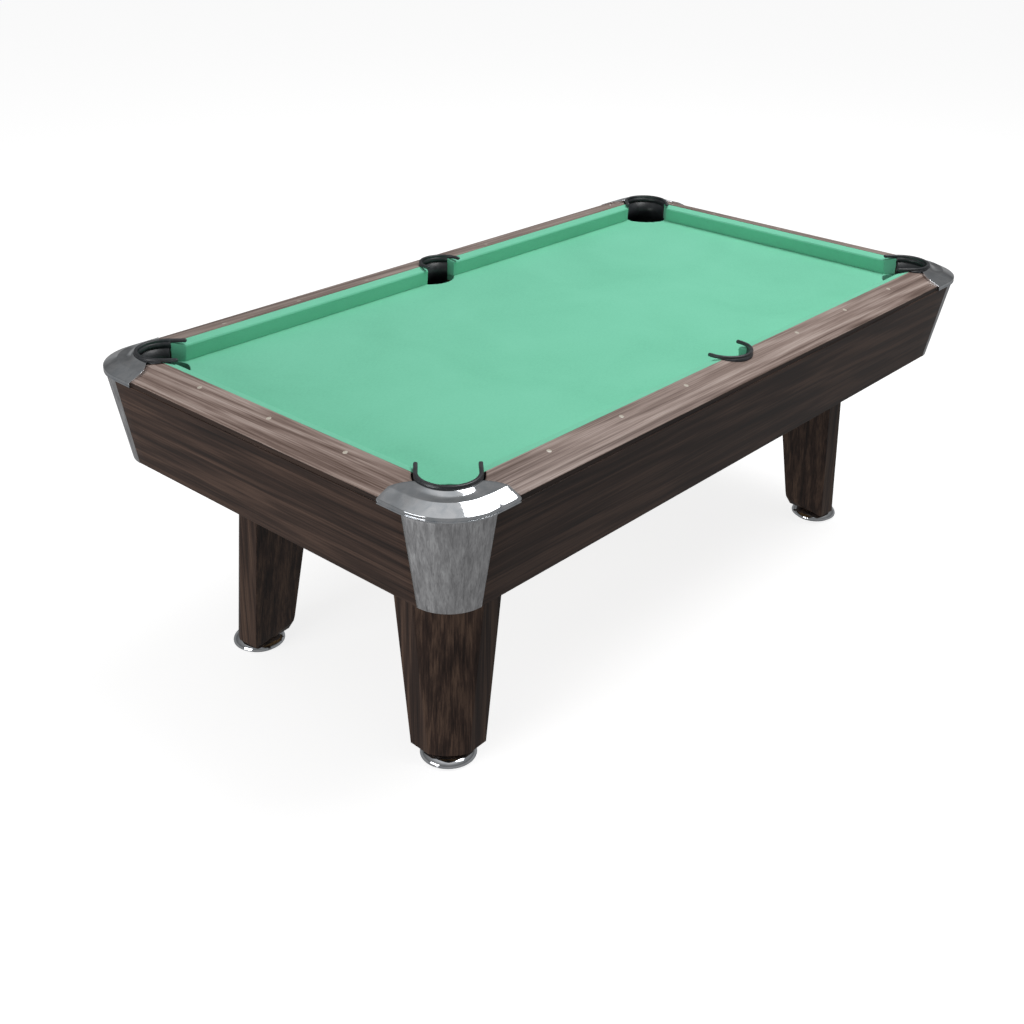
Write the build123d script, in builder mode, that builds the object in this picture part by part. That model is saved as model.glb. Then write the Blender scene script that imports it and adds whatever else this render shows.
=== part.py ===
"""Seven-foot pool table on four screw-levelled legs, in millimetres.

X runs along the table, Y across it, +Z up. The origin is on the floor under the table's middle.
"Inset" is a distance in from the line where a rail's outer face would stand, and "station" is the
distance from the table's square outer corner along a side. Front is -Y, left is -X.
"""
import os
from math import sqrt

from build123d import *

os.makedirs("parts", exist_ok=True)

# ---------------------------------------------------------------- driving dimensions
PLAY_LENGTH = 1894.0  # nose to nose
PLAY_WIDTH = 947.0
RAIL_WIDTH = 92.0
CUSHION_WIDTH = 26.0
RAIL_TOP = 800.0  # inner top edge of the wooden rail
RAIL_DROP = 20.0  # the rail's top falls this much towards the outside
RAIL_CROWN = 1.2
RAIL_EDGE = 13.0  # height of the rail's upright outer face
RAIL_SETBACK = 1.5  # the apron stands this proud of the rail
CLOTH_TOP = 752.0
CLOTH_THICK = 1.0
PANEL_THICK = 20.0
APRON_HEIGHT = 222.0
APRON_LEAN = 38.0  # the apron's foot lies this far inside its top
APRON_THICK = 18.0
CORNER_RADIUS = 127.0  # of the apron line where it turns the corner
LEG_FOOT = 32.0  # height of the leg's underside
LEG_TOP = 665.0
FLANGE_THICK = 6.0
LEG_INSET = 186.0
LEG_SIZE_FOOT = 126.0
LEG_SIZE_TOP = 200.0
LEG_SIDE = 60.0  # width of the leg's two narrow outer faces
LEG_BULGE = 9.0
LEG_WALL = 15.0
BALL = 57.2

# ---------------------------------------------------------------- derived levels and places
NOSE_INSET = RAIL_WIDTH + CUSHION_WIDTH
LENGTH = PLAY_LENGTH + 2 * NOSE_INSET
WIDTH = PLAY_WIDTH + 2 * NOSE_INSET
RAIL_LOW = RAIL_TOP - RAIL_DROP
APRON_TOP = RAIL_LOW - RAIL_EDGE
APRON_FOOT = APRON_TOP - APRON_HEIGHT
PANEL_TOP = CLOTH_TOP - CLOTH_THICK
PANEL_LOW = PANEL_TOP - PANEL_THICK
LEAN = APRON_LEAN / APRON_HEIGHT
PANEL_GAP = 1.8  # between the panel and the sloping apron
PANEL_INSET = APRON_THICK + LEAN * (APRON_TOP - PANEL_LOW) + PANEL_GAP

# corner pocket: a U about a point on the corner's diagonal, open towards the table's middle
CORNER_POCKET = 133.0  # inset of its centre from both sides
CORNER_BORE = 59.0
CORNER_RIM = 68.0
CORNER_ARM = 38.0
CORNER_SHELF_RADIUS = 94.0
CORNER_SHELF = 55.0  # how far the bed's drop edge lies in front of the pocket's centre
# side pocket: the same, half-way along a long rail
SIDE_POCKET = 120.0
SIDE_BORE = 56.0
SIDE_RIM = 64.0
SIDE_ARM = 6.0
SIDE_SHELF_RADIUS = 70.0
SIDE_SHELF = 19.0
LINER_WALL = 4.0
RIM_TOP = 808.5
RIM_HEIGHT = 8.0
RIM_ROUND = 1.8
FIT = 0.5  # clearance of a moulding in the wood or metal round it
OPEN_REACH = 60.0  # how far the arms of a cut run past a liner's own arms
CUT_HEIGHT = 80.0  # of the upright blocks that trim the rails

CORNERS = {
    "front_left": (-1, -1),
    "front_right": (1, -1),
    "back_left": (-1, 1),
    "back_right": (1, 1),
}


def export(part, name):
    """Write one finished piece as its own file."""
    part.label = name
    export_step(part, f"parts/{name}.step")


def placed(part, sign_x, sign_y):
    """A piece made at the front left corner, mirrored to the corner with these signs."""
    with BuildPart() as copy:
        add(part)
        if sign_x > 0:
            mirror(about=Plane.YZ, mode=Mode.REPLACE)
        if sign_y > 0:
            mirror(about=Plane.XZ, mode=Mode.REPLACE)
    return copy.part


def four(part, name):
    """Write the four mirror copies of a front left piece, each as its own node."""
    for corner, (sign_x, sign_y) in CORNERS.items():
        export(placed(part, sign_x, sign_y), f"{name}_{corner}")


def group(parts, name):
    """Write separate solids of like pieces as one node."""
    export(Compound(children=[Compound(part.wrapped) for part in parts]), name)


def corner_point(inset_x, inset_y):
    """Plan point given by its insets from the left and the front side."""
    return (-LENGTH / 2 + inset_x, -WIDTH / 2 + inset_y)


# ---------------------------------------------------------------- pocket plans
def u_plan(centre, radius, arm, heading):
    """A half disc behind the centre with straight arms of the given length towards the heading."""
    at = Location((centre[0], centre[1], 0), (0, 0, heading))
    with BuildSketch() as plan:
        with Locations(at):
            Circle(radius)
            with Locations((radius / 2, 0)):
                Rectangle(radius, 2 * radius, mode=Mode.SUBTRACT)
            with Locations((arm / 2, 0)):
                Rectangle(arm, 2 * radius)
    return plan.sketch


def bed_hole(centre, radius, shelf_radius, shelf, heading):
    """The bed's pocket hole: round behind, with a flatter drop edge in front."""
    at = Location((centre[0], centre[1], 0), (0, 0, heading))
    with BuildSketch() as plan:
        with Locations(at):
            Circle(radius)
            with Locations((shelf - shelf_radius, 0)):
                Circle(shelf_radius, mode=Mode.INTERSECT)
    return plan.sketch


CORNER_CENTRE = corner_point(CORNER_POCKET, CORNER_POCKET)
SIDE_CENTRE = (0.0, -WIDTH / 2 + SIDE_POCKET)
CORNER_HEADING = 45.0
SIDE_HEADING = 90.0

CORNER_HOLE = bed_hole(CORNER_CENTRE, CORNER_BORE + LINER_WALL + FIT,
                       CORNER_SHELF_RADIUS, CORNER_SHELF, CORNER_HEADING)
SIDE_HOLE = bed_hole(SIDE_CENTRE, SIDE_BORE + LINER_WALL + FIT,
                     SIDE_SHELF_RADIUS, SIDE_SHELF, SIDE_HEADING)


def all_pockets(corner_plan, side_plan):
    """Both plans mirrored to the four corners and the two sides."""
    with BuildSketch() as plan:
        add(corner_plan)
        mirror(about=Plane.YZ)
        add(side_plan)
        mirror(about=Plane.XZ)
    return plan.sketch


BED_HOLES = all_pockets(CORNER_HOLE, SIDE_HOLE)

# ---------------------------------------------------------------- fastener places
RAIL_BOLT_INSET = 62.0
RAIL_BOLT_X = (-540.0, -220.0, 220.0, 540.0)
RAIL_BOLT_Y = (-200.0, 200.0)
BOLT_RADIUS = 4.0
RAIL_BOLT_TIP = 784.0
BOLT_HEAD_RADIUS = 7.0
BOLT_HEAD_THICK = 5.5
WASHER_RADIUS = 10.0
WASHER_THICK = 2.0


def bolt(x, y, seat, length):
    """A hexagon bolt pointing up from its seat, with its washer."""
    with BuildPart(Plane((x, y, seat))) as body:
        Cylinder(BOLT_RADIUS, length, align=(Align.CENTER, Align.CENTER, Align.MIN))
        Cylinder(WASHER_RADIUS, WASHER_THICK, align=(Align.CENTER, Align.CENTER, Align.MAX))
        with BuildSketch(Plane((x, y, seat - WASHER_THICK))):
            RegularPolygon(BOLT_HEAD_RADIUS, 6)
        extrude(amount=-BOLT_HEAD_THICK)
    return body.part


rail_bolt_places = []
for bolt_x in RAIL_BOLT_X:
    for side in (-1, 1):
        rail_bolt_places.append((bolt_x, side * (WIDTH / 2 - RAIL_BOLT_INSET)))
for bolt_y in RAIL_BOLT_Y:
    for end in (-1, 1):
        rail_bolt_places.append((end * (LENGTH / 2 - RAIL_BOLT_INSET), bolt_y))

# ---------------------------------------------------------------- bed
with BuildPart() as bed_panel:
    with BuildSketch(Plane.XY.offset(PANEL_LOW)):
        RectangleRounded(LENGTH - 2 * PANEL_INSET, WIDTH - 2 * PANEL_INSET,
                         CORNER_RADIUS - PANEL_INSET - 1)
        add(BED_HOLES, mode=Mode.SUBTRACT)
        with Locations(*rail_bolt_places):
            Circle(BOLT_RADIUS + FIT, mode=Mode.SUBTRACT)
    extrude(amount=PANEL_THICK)
export(bed_panel.part, "bed_panel")

with BuildPart() as bed_cloth:
    with BuildSketch(Plane.XY.offset(PANEL_TOP)):
        RectangleRounded(LENGTH - 2 * PANEL_INSET, WIDTH - 2 * PANEL_INSET,
                         CORNER_RADIUS - PANEL_INSET - 1)
        add(BED_HOLES, mode=Mode.SUBTRACT)
        with Locations(*rail_bolt_places):
            Circle(BOLT_RADIUS + FIT, mode=Mode.SUBTRACT)
    extrude(amount=CLOTH_THICK)
export(bed_cloth.part, "bed_cloth")

# ---------------------------------------------------------------- corner casting
CASTING_STATION = 190.0  # where the casting ends along each side
LIP_PROUD = 4.0
RIDGE_INSET = 28.0
RIDGE_Z = 793.0
PLATE_INSET = 64.0
PLATE_Z = 801.0
BEVEL_Z = 779.0
GROOVE_LOW = 770.5
GROOVE_HIGH = 772.5
GROOVE_DEPTH = 2.5
CASTING_WALL = 4.0
END_MIDDLE = (14.0, 51.0)  # the casting's curved end half-way: back from its station, and inset
END_FINISH = (34.0, 69.0)  # the same where it meets the pocket
FAR = 420.0  # well past the casting, for the blocks it is cut from


def quadrant(inset, level):
    """The table's corner region inside the line at this inset, at this height."""
    radius = CORNER_RADIUS - inset
    with BuildSketch(Plane.XY.offset(level)) as region:
        with BuildLine():
            a = corner_point(inset, CORNER_RADIUS)
            b = corner_point(CORNER_RADIUS, inset)
            middle = CORNER_RADIUS - radius / sqrt(2)
            Line(corner_point(inset, FAR), a)
            ThreePointArc(a, corner_point(middle, middle), b)
            Line(b, corner_point(FAR, inset))
            Line(corner_point(FAR, inset), corner_point(FAR, FAR))
            Line(corner_point(FAR, FAR), corner_point(inset, FAR))
        make_face()
    return region.sketch


def casting_plan(setback):
    """Plan of the casting; the setback draws its edges in on the sides facing the rails."""
    end = CASTING_STATION - setback
    bend = RIDGE_INSET
    with BuildSketch() as plan:
        with BuildLine():
            outer = -LIP_PROUD - 1
            Polyline(corner_point(outer, end), corner_point(outer, outer), corner_point(end, outer))
            Line(corner_point(end, outer), corner_point(end, bend))
            ThreePointArc(corner_point(end, bend), corner_point(end - END_MIDDLE[0], END_MIDDLE[1]),
                          corner_point(end - END_FINISH[0], END_FINISH[1]))
            Line(corner_point(end - END_FINISH[0], END_FINISH[1]),
                 corner_point(CORNER_POCKET, CORNER_POCKET))
            Line(corner_point(CORNER_POCKET, CORNER_POCKET),
                 corner_point(END_FINISH[1], end - END_FINISH[0]))
            ThreePointArc(corner_point(END_FINISH[1], end - END_FINISH[0]),
                          corner_point(END_MIDDLE[1], end - END_MIDDLE[0]),
                          corner_point(bend, end))
            Line(corner_point(bend, end), corner_point(outer, end))
        make_face()
    return plan.sketch


def block(inset, low, high):
    """An upright block whose outline is the corner line at this inset."""
    with BuildPart() as body:
        add(quadrant(inset, low))
        extrude(amount=high - low)
    return body.part


def facet(low_inset, low, high_inset, high):
    """A sloping ring of the casting, between two corner lines at two heights."""
    with BuildPart() as body:
        add(quadrant(low_inset, low))
        add(quadrant(high_inset, high))
        loft(ruled=True)
    return body.part


def casting_stack(drop, shrink):
    """The casting's faceted dome: lip, bevel up to the ridge, then the plate's gentle rise."""
    edge = shrink - LIP_PROUD
    with BuildPart() as stack:
        add(block(edge, APRON_TOP - 1, BEVEL_Z - drop))
        add(facet(edge, BEVEL_Z - drop, RIDGE_INSET + shrink, RIDGE_Z - drop))
        add(facet(RIDGE_INSET + shrink, RIDGE_Z - drop, PLATE_INSET + shrink, PLATE_Z - drop))
    return stack.part


def casting_trim(setback, low):
    """Upright prism from a height, that the dome is trimmed to, with the pocket's U taken out."""
    with BuildPart() as prism:
        with BuildSketch(Plane.XY.offset(low)):
            add(casting_plan(setback))
            add(u_plan(CORNER_CENTRE, CORNER_RIM + FIT + setback, CORNER_ARM + OPEN_REACH,
                       CORNER_HEADING), mode=Mode.SUBTRACT)
        extrude(amount=CUT_HEIGHT)
    return prism.part


corner_u = u_plan(CORNER_CENTRE, CORNER_RIM + FIT, CORNER_ARM + OPEN_REACH, CORNER_HEADING)

with BuildPart() as casting_hollow:
    add(casting_stack(CASTING_WALL, CASTING_WALL))
    add(casting_trim(CASTING_WALL, APRON_TOP - 1), mode=Mode.INTERSECT)

with BuildPart() as lip_groove:
    add(block(-2 * LIP_PROUD, GROOVE_LOW, GROOVE_HIGH))
    add(block(GROOVE_DEPTH - LIP_PROUD, GROOVE_LOW, GROOVE_HIGH), mode=Mode.SUBTRACT)

with BuildPart() as casting:
    add(casting_stack(0, 0))
    add(casting_trim(0, APRON_TOP), mode=Mode.INTERSECT)
    add(casting_hollow.part, mode=Mode.SUBTRACT)
    add(lip_groove.part, mode=Mode.SUBTRACT)
four(casting.part, "corner_casting")

# ---------------------------------------------------------------- rails
SIGHT_RADIUS = 5.5
SIGHT_DEPTH = 1.6
SIGHT_INSET = 68.0
SIGHT_ROUND = 0.4
REBATE_INSET = 23.0
RAIL_END = 120.0  # station where the blank rail starts, inside the casting


def crown_point():
    """Middle of the rail's gently crowned top, as inset and height."""
    return ((RAIL_SETBACK + RAIL_WIDTH) / 2, (RAIL_LOW + RAIL_TOP) / 2 + RAIL_CROWN)


def sight_height(inset):
    """Height of the rail's top at an inset, on its crowned slope."""
    middle, _ = crown_point()
    half = (RAIL_WIDTH - RAIL_SETBACK) / 2
    along = (inset - middle) / half
    return (RAIL_LOW + RAIL_TOP) / 2 + along * RAIL_DROP / 2 + RAIL_CROWN * (1 - along * along)


sight_step = PLAY_LENGTH / 8
front_sights = [k * sight_step for k in (-3, -2, -1, 1, 2, 3)]
left_sights = [k * PLAY_WIDTH / 4 for k in (-1, 0, 1)]
front_sight_planes = [
    Plane(origin=(x, -WIDTH / 2 + SIGHT_INSET, sight_height(SIGHT_INSET)), x_dir=(1, 0, 0),
          z_dir=(0, -RAIL_DROP, RAIL_WIDTH - RAIL_SETBACK))
    for x in front_sights
]
left_sight_planes = [
    Plane(origin=(-LENGTH / 2 + SIGHT_INSET, y, sight_height(SIGHT_INSET)), x_dir=(0, 1, 0),
          z_dir=(-RAIL_DROP, 0, RAIL_WIDTH - RAIL_SETBACK))
    for y in left_sights
]

with BuildPart() as corner_cut:
    with BuildSketch(Plane.XY.offset(CLOTH_TOP - 1)):
        add(casting_plan(-FIT))
        add(corner_u)
    extrude(amount=CUT_HEIGHT)

with BuildPart() as side_cut:
    with BuildSketch(Plane.XY.offset(CLOTH_TOP - 1)):
        add(u_plan(SIDE_CENTRE, SIDE_RIM + FIT, SIDE_ARM + OPEN_REACH, SIDE_HEADING))
    extrude(amount=CUT_HEIGHT)

def rail_section(plane, base):
    """A rail's cross-section on an upright plane, out from the table's side at base."""
    with BuildSketch(plane) as section:
        with BuildLine():
            crown_inset, crown_z = crown_point()
            Polyline((base + RAIL_WIDTH, RAIL_TOP), (base + RAIL_WIDTH, CLOTH_TOP),
                     (base + REBATE_INSET, CLOTH_TOP), (base + REBATE_INSET, APRON_TOP),
                     (base + RAIL_SETBACK, APRON_TOP), (base + RAIL_SETBACK, RAIL_LOW))
            ThreePointArc((base + RAIL_SETBACK, RAIL_LOW), (base + crown_inset, crown_z),
                          (base + RAIL_WIDTH, RAIL_TOP))
        make_face()
    return section.sketch


with BuildPart() as rail_front:
    add(rail_section(Plane.YZ.offset(-LENGTH / 2 + RAIL_END), -WIDTH / 2))
    extrude(amount=LENGTH - 2 * RAIL_END, dir=(1, 0, 0))
    add(corner_cut.part, mode=Mode.SUBTRACT)
    add(placed(corner_cut.part, 1, -1), mode=Mode.SUBTRACT)
    add(side_cut.part, mode=Mode.SUBTRACT)
    with Locations(*[(x, -WIDTH / 2 + RAIL_BOLT_INSET, CLOTH_TOP) for x in RAIL_BOLT_X]):
        Cylinder(BOLT_RADIUS, RAIL_BOLT_TIP - CLOTH_TOP, mode=Mode.SUBTRACT,
                 align=(Align.CENTER, Align.CENTER, Align.MIN))
    with Locations(*front_sight_planes):
        Cylinder(SIGHT_RADIUS, 2 * SIGHT_DEPTH, mode=Mode.SUBTRACT)
export(rail_front.part, "rail_front")
export(placed(rail_front.part, -1, 1), "rail_back")

with BuildPart() as rail_left:
    add(rail_section(Plane.XZ.offset(WIDTH / 2 - RAIL_END), -LENGTH / 2))
    extrude(amount=WIDTH - 2 * RAIL_END, dir=(0, 1, 0))
    add(corner_cut.part, mode=Mode.SUBTRACT)
    add(placed(corner_cut.part, -1, 1), mode=Mode.SUBTRACT)
    with Locations(*[(-LENGTH / 2 + RAIL_BOLT_INSET, y, CLOTH_TOP) for y in RAIL_BOLT_Y]):
        Cylinder(BOLT_RADIUS, RAIL_BOLT_TIP - CLOTH_TOP, mode=Mode.SUBTRACT,
                 align=(Align.CENTER, Align.CENTER, Align.MIN))
    with Locations(*left_sight_planes):
        Cylinder(SIGHT_RADIUS, 2 * SIGHT_DEPTH, mode=Mode.SUBTRACT)
export(rail_left.part, "rail_left")
export(placed(rail_left.part, 1, -1), "rail_right")

sights = []
for plane in front_sight_planes + left_sight_planes:
    with BuildPart(plane) as sight:
        Cylinder(SIGHT_RADIUS, SIGHT_DEPTH, align=(Align.CENTER, Align.CENTER, Align.MAX))
        fillet(sight.edges().filter_by(GeomType.CIRCLE).sort_by(Axis.Z)[-1:], SIGHT_ROUND)
    sights.append(sight.part)
for sight_part in sights[:len(front_sights)]:
    sights.append(placed(sight_part, -1, 1))
for sight_part in sights[len(front_sights):len(front_sights) + len(left_sights)]:
    sights.append(placed(sight_part, 1, -1))
group(sights, "rail_sights")

# ---------------------------------------------------------------- cushions
CUSHION_BASE = CLOTH_TOP + 0.3
CUSHION_BACK_TOP = 799.5
NOSE_TOP = 793.0
NOSE_BACK = 4.0  # the face leans back this much at the cloth
NOSE_EDGE = 2.0  # how far behind the nose its top edge lies
NOSE_DROP = 3.0  # how far under its top the nose's foremost line lies
NOSE_TURN = 8.0  # how far under its top the face starts to lean back
NOSE_ROUND = 0.5
COVER = 1.0
BACKER_WIDTH = 12.0
CORNER_STATION_BACK = 177.0  # station where a cushion starts, at the rail
CORNER_STATION_NOSE = 206.0  # and at its nose
SIDE_HALF_BACK = 48.5
SIDE_HALF_NOSE = 52.5


def cushion_solid(start, end, start_slant, end_slant, inset, front, back):
    """A cushion body along X between stations, drawn in all round by inset.

    front and back are the insets from the table's side that bound it; the slants are how much
    shorter its nose is than its back at each end.
    """
    low = CUSHION_BASE + inset
    with BuildPart() as body:
        with BuildSketch(Plane.YZ.offset(-LENGTH / 2)):
            with BuildLine():
                base = -WIDTH / 2
                slope = (CUSHION_BACK_TOP - NOSE_TOP) / CUSHION_WIDTH
                Polyline((base + back, low), (base + back, CUSHION_BACK_TOP - inset
                                              - slope * (back - RAIL_WIDTH)),
                         (base + front - NOSE_EDGE, NOSE_TOP - inset + slope * NOSE_EDGE),
                         (base + front, NOSE_TOP - NOSE_DROP - inset / 2),
                         (base + front - NOSE_ROUND, NOSE_TOP - NOSE_TURN),
                         (base + front - NOSE_BACK, low), close=True)
            make_face()
        extrude(amount=LENGTH)
        with BuildSketch(Plane.XY.offset(PANEL_TOP)):
            with BuildLine():
                reach = 1.5 * CUSHION_WIDTH
                Polyline((start + inset, -WIDTH / 2 + RAIL_WIDTH),
                         (start + inset + start_slant * reach / CUSHION_WIDTH,
                          -WIDTH / 2 + RAIL_WIDTH + reach),
                         (end - inset - end_slant * reach / CUSHION_WIDTH,
                          -WIDTH / 2 + RAIL_WIDTH + reach),
                         (end - inset, -WIDTH / 2 + RAIL_WIDTH), close=True)
            make_face()
        extrude(amount=CUT_HEIGHT, mode=Mode.INTERSECT)
    return body.part


def cushion_pieces(start, end, start_slant, end_slant):
    """Cover, rubber and wooden backer of one cushion on the front side."""
    spans = (start, end, start_slant, end_slant)
    split_at = RAIL_WIDTH + BACKER_WIDTH
    inside = cushion_solid(*spans, COVER, NOSE_INSET - COVER, RAIL_WIDTH)
    with BuildPart() as cover:
        add(cushion_solid(*spans, 0, NOSE_INSET, RAIL_WIDTH))
        add(inside, mode=Mode.SUBTRACT)
    with BuildPart() as rubber:
        add(inside)
        split(bisect_by=Plane.XZ.offset(WIDTH / 2 - split_at), keep=Keep.BOTTOM)
    with BuildPart() as backer:
        add(inside)
        split(bisect_by=Plane.XZ.offset(WIDTH / 2 - split_at), keep=Keep.TOP)
    return cover.part, rubber.part, backer.part


def turned(part, angle, shift):
    """A piece turned about Z and moved, for the cushions on the short sides."""
    with BuildPart() as copy:
        with Locations(Location(shift, (0, 0, angle))):
            add(part)
    return copy.part


corner_slant = CORNER_STATION_NOSE - CORNER_STATION_BACK
side_slant = SIDE_HALF_NOSE - SIDE_HALF_BACK
long_cushion = cushion_pieces(-LENGTH / 2 + CORNER_STATION_BACK, -SIDE_HALF_BACK,
                              corner_slant, side_slant)
short_half = WIDTH / 2 - CORNER_STATION_BACK
short_front = cushion_pieces(-short_half, short_half, corner_slant, corner_slant)
short_shift = (-LENGTH / 2 + WIDTH / 2, 0, 0)
short_cushion = [turned(piece, -90, short_shift) for piece in short_front]
four(long_cushion[0], "cushion")
export(short_cushion[0], "cushion_left")
export(placed(short_cushion[0], 1, -1), "cushion_right")
for index, name in ((1, "cushion_rubbers"), (2, "cushion_backers")):
    like = [placed(long_cushion[index], *signs) for signs in CORNERS.values()]
    like += [short_cushion[index], placed(short_cushion[index], 1, -1)]
    group(like, name)

# ---------------------------------------------------------------- pocket liners and buckets
ARM_Z = RIM_TOP - RIM_HEIGHT
SKIRT_Z = 786.0
CLEAR_OF_CUSHION = RAIL_WIDTH - FIT
BUCKET_TOP = PANEL_LOW
BUCKET_DEPTH = 131.0
BUCKET_WALL = 3.0
BUCKET_FLANGE = 75.0
BUCKET_TOP_RADIUS = 67.0
BUCKET_LOW_RADIUS = 61.0
SCREW_RADIUS = 2.0
SCREW_RING = 71.0
SCREW_HEAD = 2.4


def liner(centre, bore, rim, arm, heading, keep_region):
    """Moulded pocket liner: thick rim with two arms, skirt in the wood and a thin back wall."""
    with BuildPart() as body:
        with BuildSketch(Plane.XY.offset(ARM_Z)):
            add(u_plan(centre, rim, arm, heading))
            add(u_plan(centre, bore, arm + OPEN_REACH, heading), mode=Mode.SUBTRACT)
        extrude(amount=RIM_HEIGHT)
        fillet(body.edges().group_by(Axis.Z)[-1], RIM_ROUND)
        with BuildSketch(Plane.XY.offset(SKIRT_Z)):
            add(u_plan(centre, rim, arm, heading))
            add(keep_region, mode=Mode.INTERSECT)
            add(u_plan(centre, bore, arm + OPEN_REACH, heading), mode=Mode.SUBTRACT)
        extrude(amount=ARM_Z - SKIRT_Z + 1)
        with BuildSketch(Plane.XY.offset(PANEL_LOW)):
            add(u_plan(centre, bore + LINER_WALL, arm, heading))
            add(keep_region, mode=Mode.INTERSECT)
            add(u_plan(centre, bore, arm + OPEN_REACH, heading), mode=Mode.SUBTRACT)
        extrude(amount=SKIRT_Z - PANEL_LOW)
    return body.part


with BuildSketch() as corner_keep:
    with BuildLine():
        Polyline(corner_point(-10, -10), corner_point(FAR, -10),
                 corner_point(FAR, CLEAR_OF_CUSHION),
                 corner_point(CLEAR_OF_CUSHION, CLEAR_OF_CUSHION),
                 corner_point(CLEAR_OF_CUSHION, FAR), corner_point(-10, FAR), close=True)
    make_face()
with BuildSketch() as side_keep:
    with Locations((0, -WIDTH / 2 + CLEAR_OF_CUSHION / 2)):
        Rectangle(FAR, CLEAR_OF_CUSHION)

corner_liner = liner(CORNER_CENTRE, CORNER_BORE, CORNER_RIM, CORNER_ARM, CORNER_HEADING,
                     corner_keep.sketch)
side_liner = liner(SIDE_CENTRE, SIDE_BORE, SIDE_RIM, SIDE_ARM, SIDE_HEADING, side_keep.sketch)
four(corner_liner, "pocket_liner")
export(side_liner, "pocket_liner_front")
export(placed(side_liner, -1, 1), "pocket_liner_back")

buckets = []
bucket_screws = []
pocket_centres = [(sign_x * (LENGTH / 2 - CORNER_POCKET), sign_y * (WIDTH / 2 - CORNER_POCKET))
                  for sign_x, sign_y in CORNERS.values()]
pocket_centres += [(0, SIDE_CENTRE[1]), (0, -SIDE_CENTRE[1])]
for centre_x, centre_y in pocket_centres:
    screw_places = [(centre_x, centre_y + SCREW_RING), (centre_x, centre_y - SCREW_RING)]
    with BuildPart() as bucket:
        with BuildSketch(Plane.XZ.offset(-centre_y)):
            with BuildLine():
                floor_z = BUCKET_TOP - BUCKET_DEPTH
                Polyline((centre_x, floor_z), (centre_x + BUCKET_LOW_RADIUS, floor_z),
                         (centre_x + BUCKET_TOP_RADIUS, BUCKET_TOP - BUCKET_WALL),
                         (centre_x + BUCKET_FLANGE, BUCKET_TOP - BUCKET_WALL),
                         (centre_x + BUCKET_FLANGE, BUCKET_TOP),
                         (centre_x + BUCKET_TOP_RADIUS - BUCKET_WALL, BUCKET_TOP),
                         (centre_x + BUCKET_LOW_RADIUS - BUCKET_WALL, floor_z + BUCKET_WALL),
                         (centre_x, floor_z + BUCKET_WALL), close=True)
            make_face()
        revolve(axis=Axis((centre_x, centre_y, 0), (0, 0, 1)))
        with Locations(*[(x, y, BUCKET_TOP - BUCKET_WALL) for x, y in screw_places]):
            Cylinder(SCREW_RADIUS, 4 * BUCKET_WALL, mode=Mode.SUBTRACT)
    buckets.append(bucket.part)
    for screw_x, screw_y in screw_places:
        with BuildPart(Plane((screw_x, screw_y, BUCKET_TOP - BUCKET_WALL))) as screw:
            Cylinder(SCREW_RADIUS, BUCKET_WALL, align=(Align.CENTER, Align.CENTER, Align.MIN))
            Cylinder(2 * SCREW_RADIUS, SCREW_HEAD, align=(Align.CENTER, Align.CENTER, Align.MAX))
        bucket_screws.append(screw.part)
group(buckets, "pocket_buckets")
group(bucket_screws, "bucket_screws")

# ---------------------------------------------------------------- cabinet
with BuildPart() as apron_front:
    with BuildSketch(Plane.YZ.offset(-LENGTH / 2 + CORNER_RADIUS)):
        with BuildLine():
            base = -WIDTH / 2
            Polyline((base, APRON_TOP), (base + APRON_THICK, APRON_TOP),
                     (base + APRON_THICK + APRON_LEAN, APRON_FOOT),
                     (base + APRON_LEAN, APRON_FOOT), close=True)
        make_face()
    extrude(amount=LENGTH - 2 * CORNER_RADIUS)
export(apron_front.part, "apron_front")
export(placed(apron_front.part, -1, 1), "apron_back")

with BuildPart() as apron_left:
    with BuildSketch(Plane.XZ.offset(WIDTH / 2 - CORNER_RADIUS)):
        with BuildLine():
            base = -LENGTH / 2
            Polyline((base, APRON_TOP), (base + APRON_THICK, APRON_TOP),
                     (base + APRON_THICK + APRON_LEAN, APRON_FOOT),
                     (base + APRON_LEAN, APRON_FOOT), close=True)
        make_face()
    extrude(amount=-(WIDTH - 2 * CORNER_RADIUS))
export(apron_left.part, "apron_left")
export(placed(apron_left.part, 1, -1), "apron_right")

SHIELD_THICK = 2.0
corner_axis = corner_point(CORNER_RADIUS, CORNER_RADIUS)


def corner_shell(outside, inside, top, foot):
    """A quarter of a cone round the corner, between two depths behind the apron's face."""
    with BuildPart() as shell:
        with BuildSketch(Plane.XZ.offset(-corner_axis[1])):
            with BuildLine():
                top_radius = CORNER_RADIUS - LEAN * (APRON_TOP - top)
                foot_radius = CORNER_RADIUS - LEAN * (APRON_TOP - foot)
                Polyline((corner_axis[0] - top_radius + outside, top),
                         (corner_axis[0] - top_radius + inside, top),
                         (corner_axis[0] - foot_radius + inside, foot),
                         (corner_axis[0] - foot_radius + outside, foot), close=True)
            make_face()
        revolve(axis=Axis((*corner_axis, 0), (0, 0, 1)), revolution_arc=90)
    return shell.part


four(corner_shell(0, SHIELD_THICK, APRON_TOP, APRON_FOOT), "corner_shield")
post = corner_shell(SHIELD_THICK, APRON_THICK, APRON_TOP, APRON_FOOT)
group([placed(post, *signs) for signs in CORNERS.values()], "corner_posts")

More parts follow.
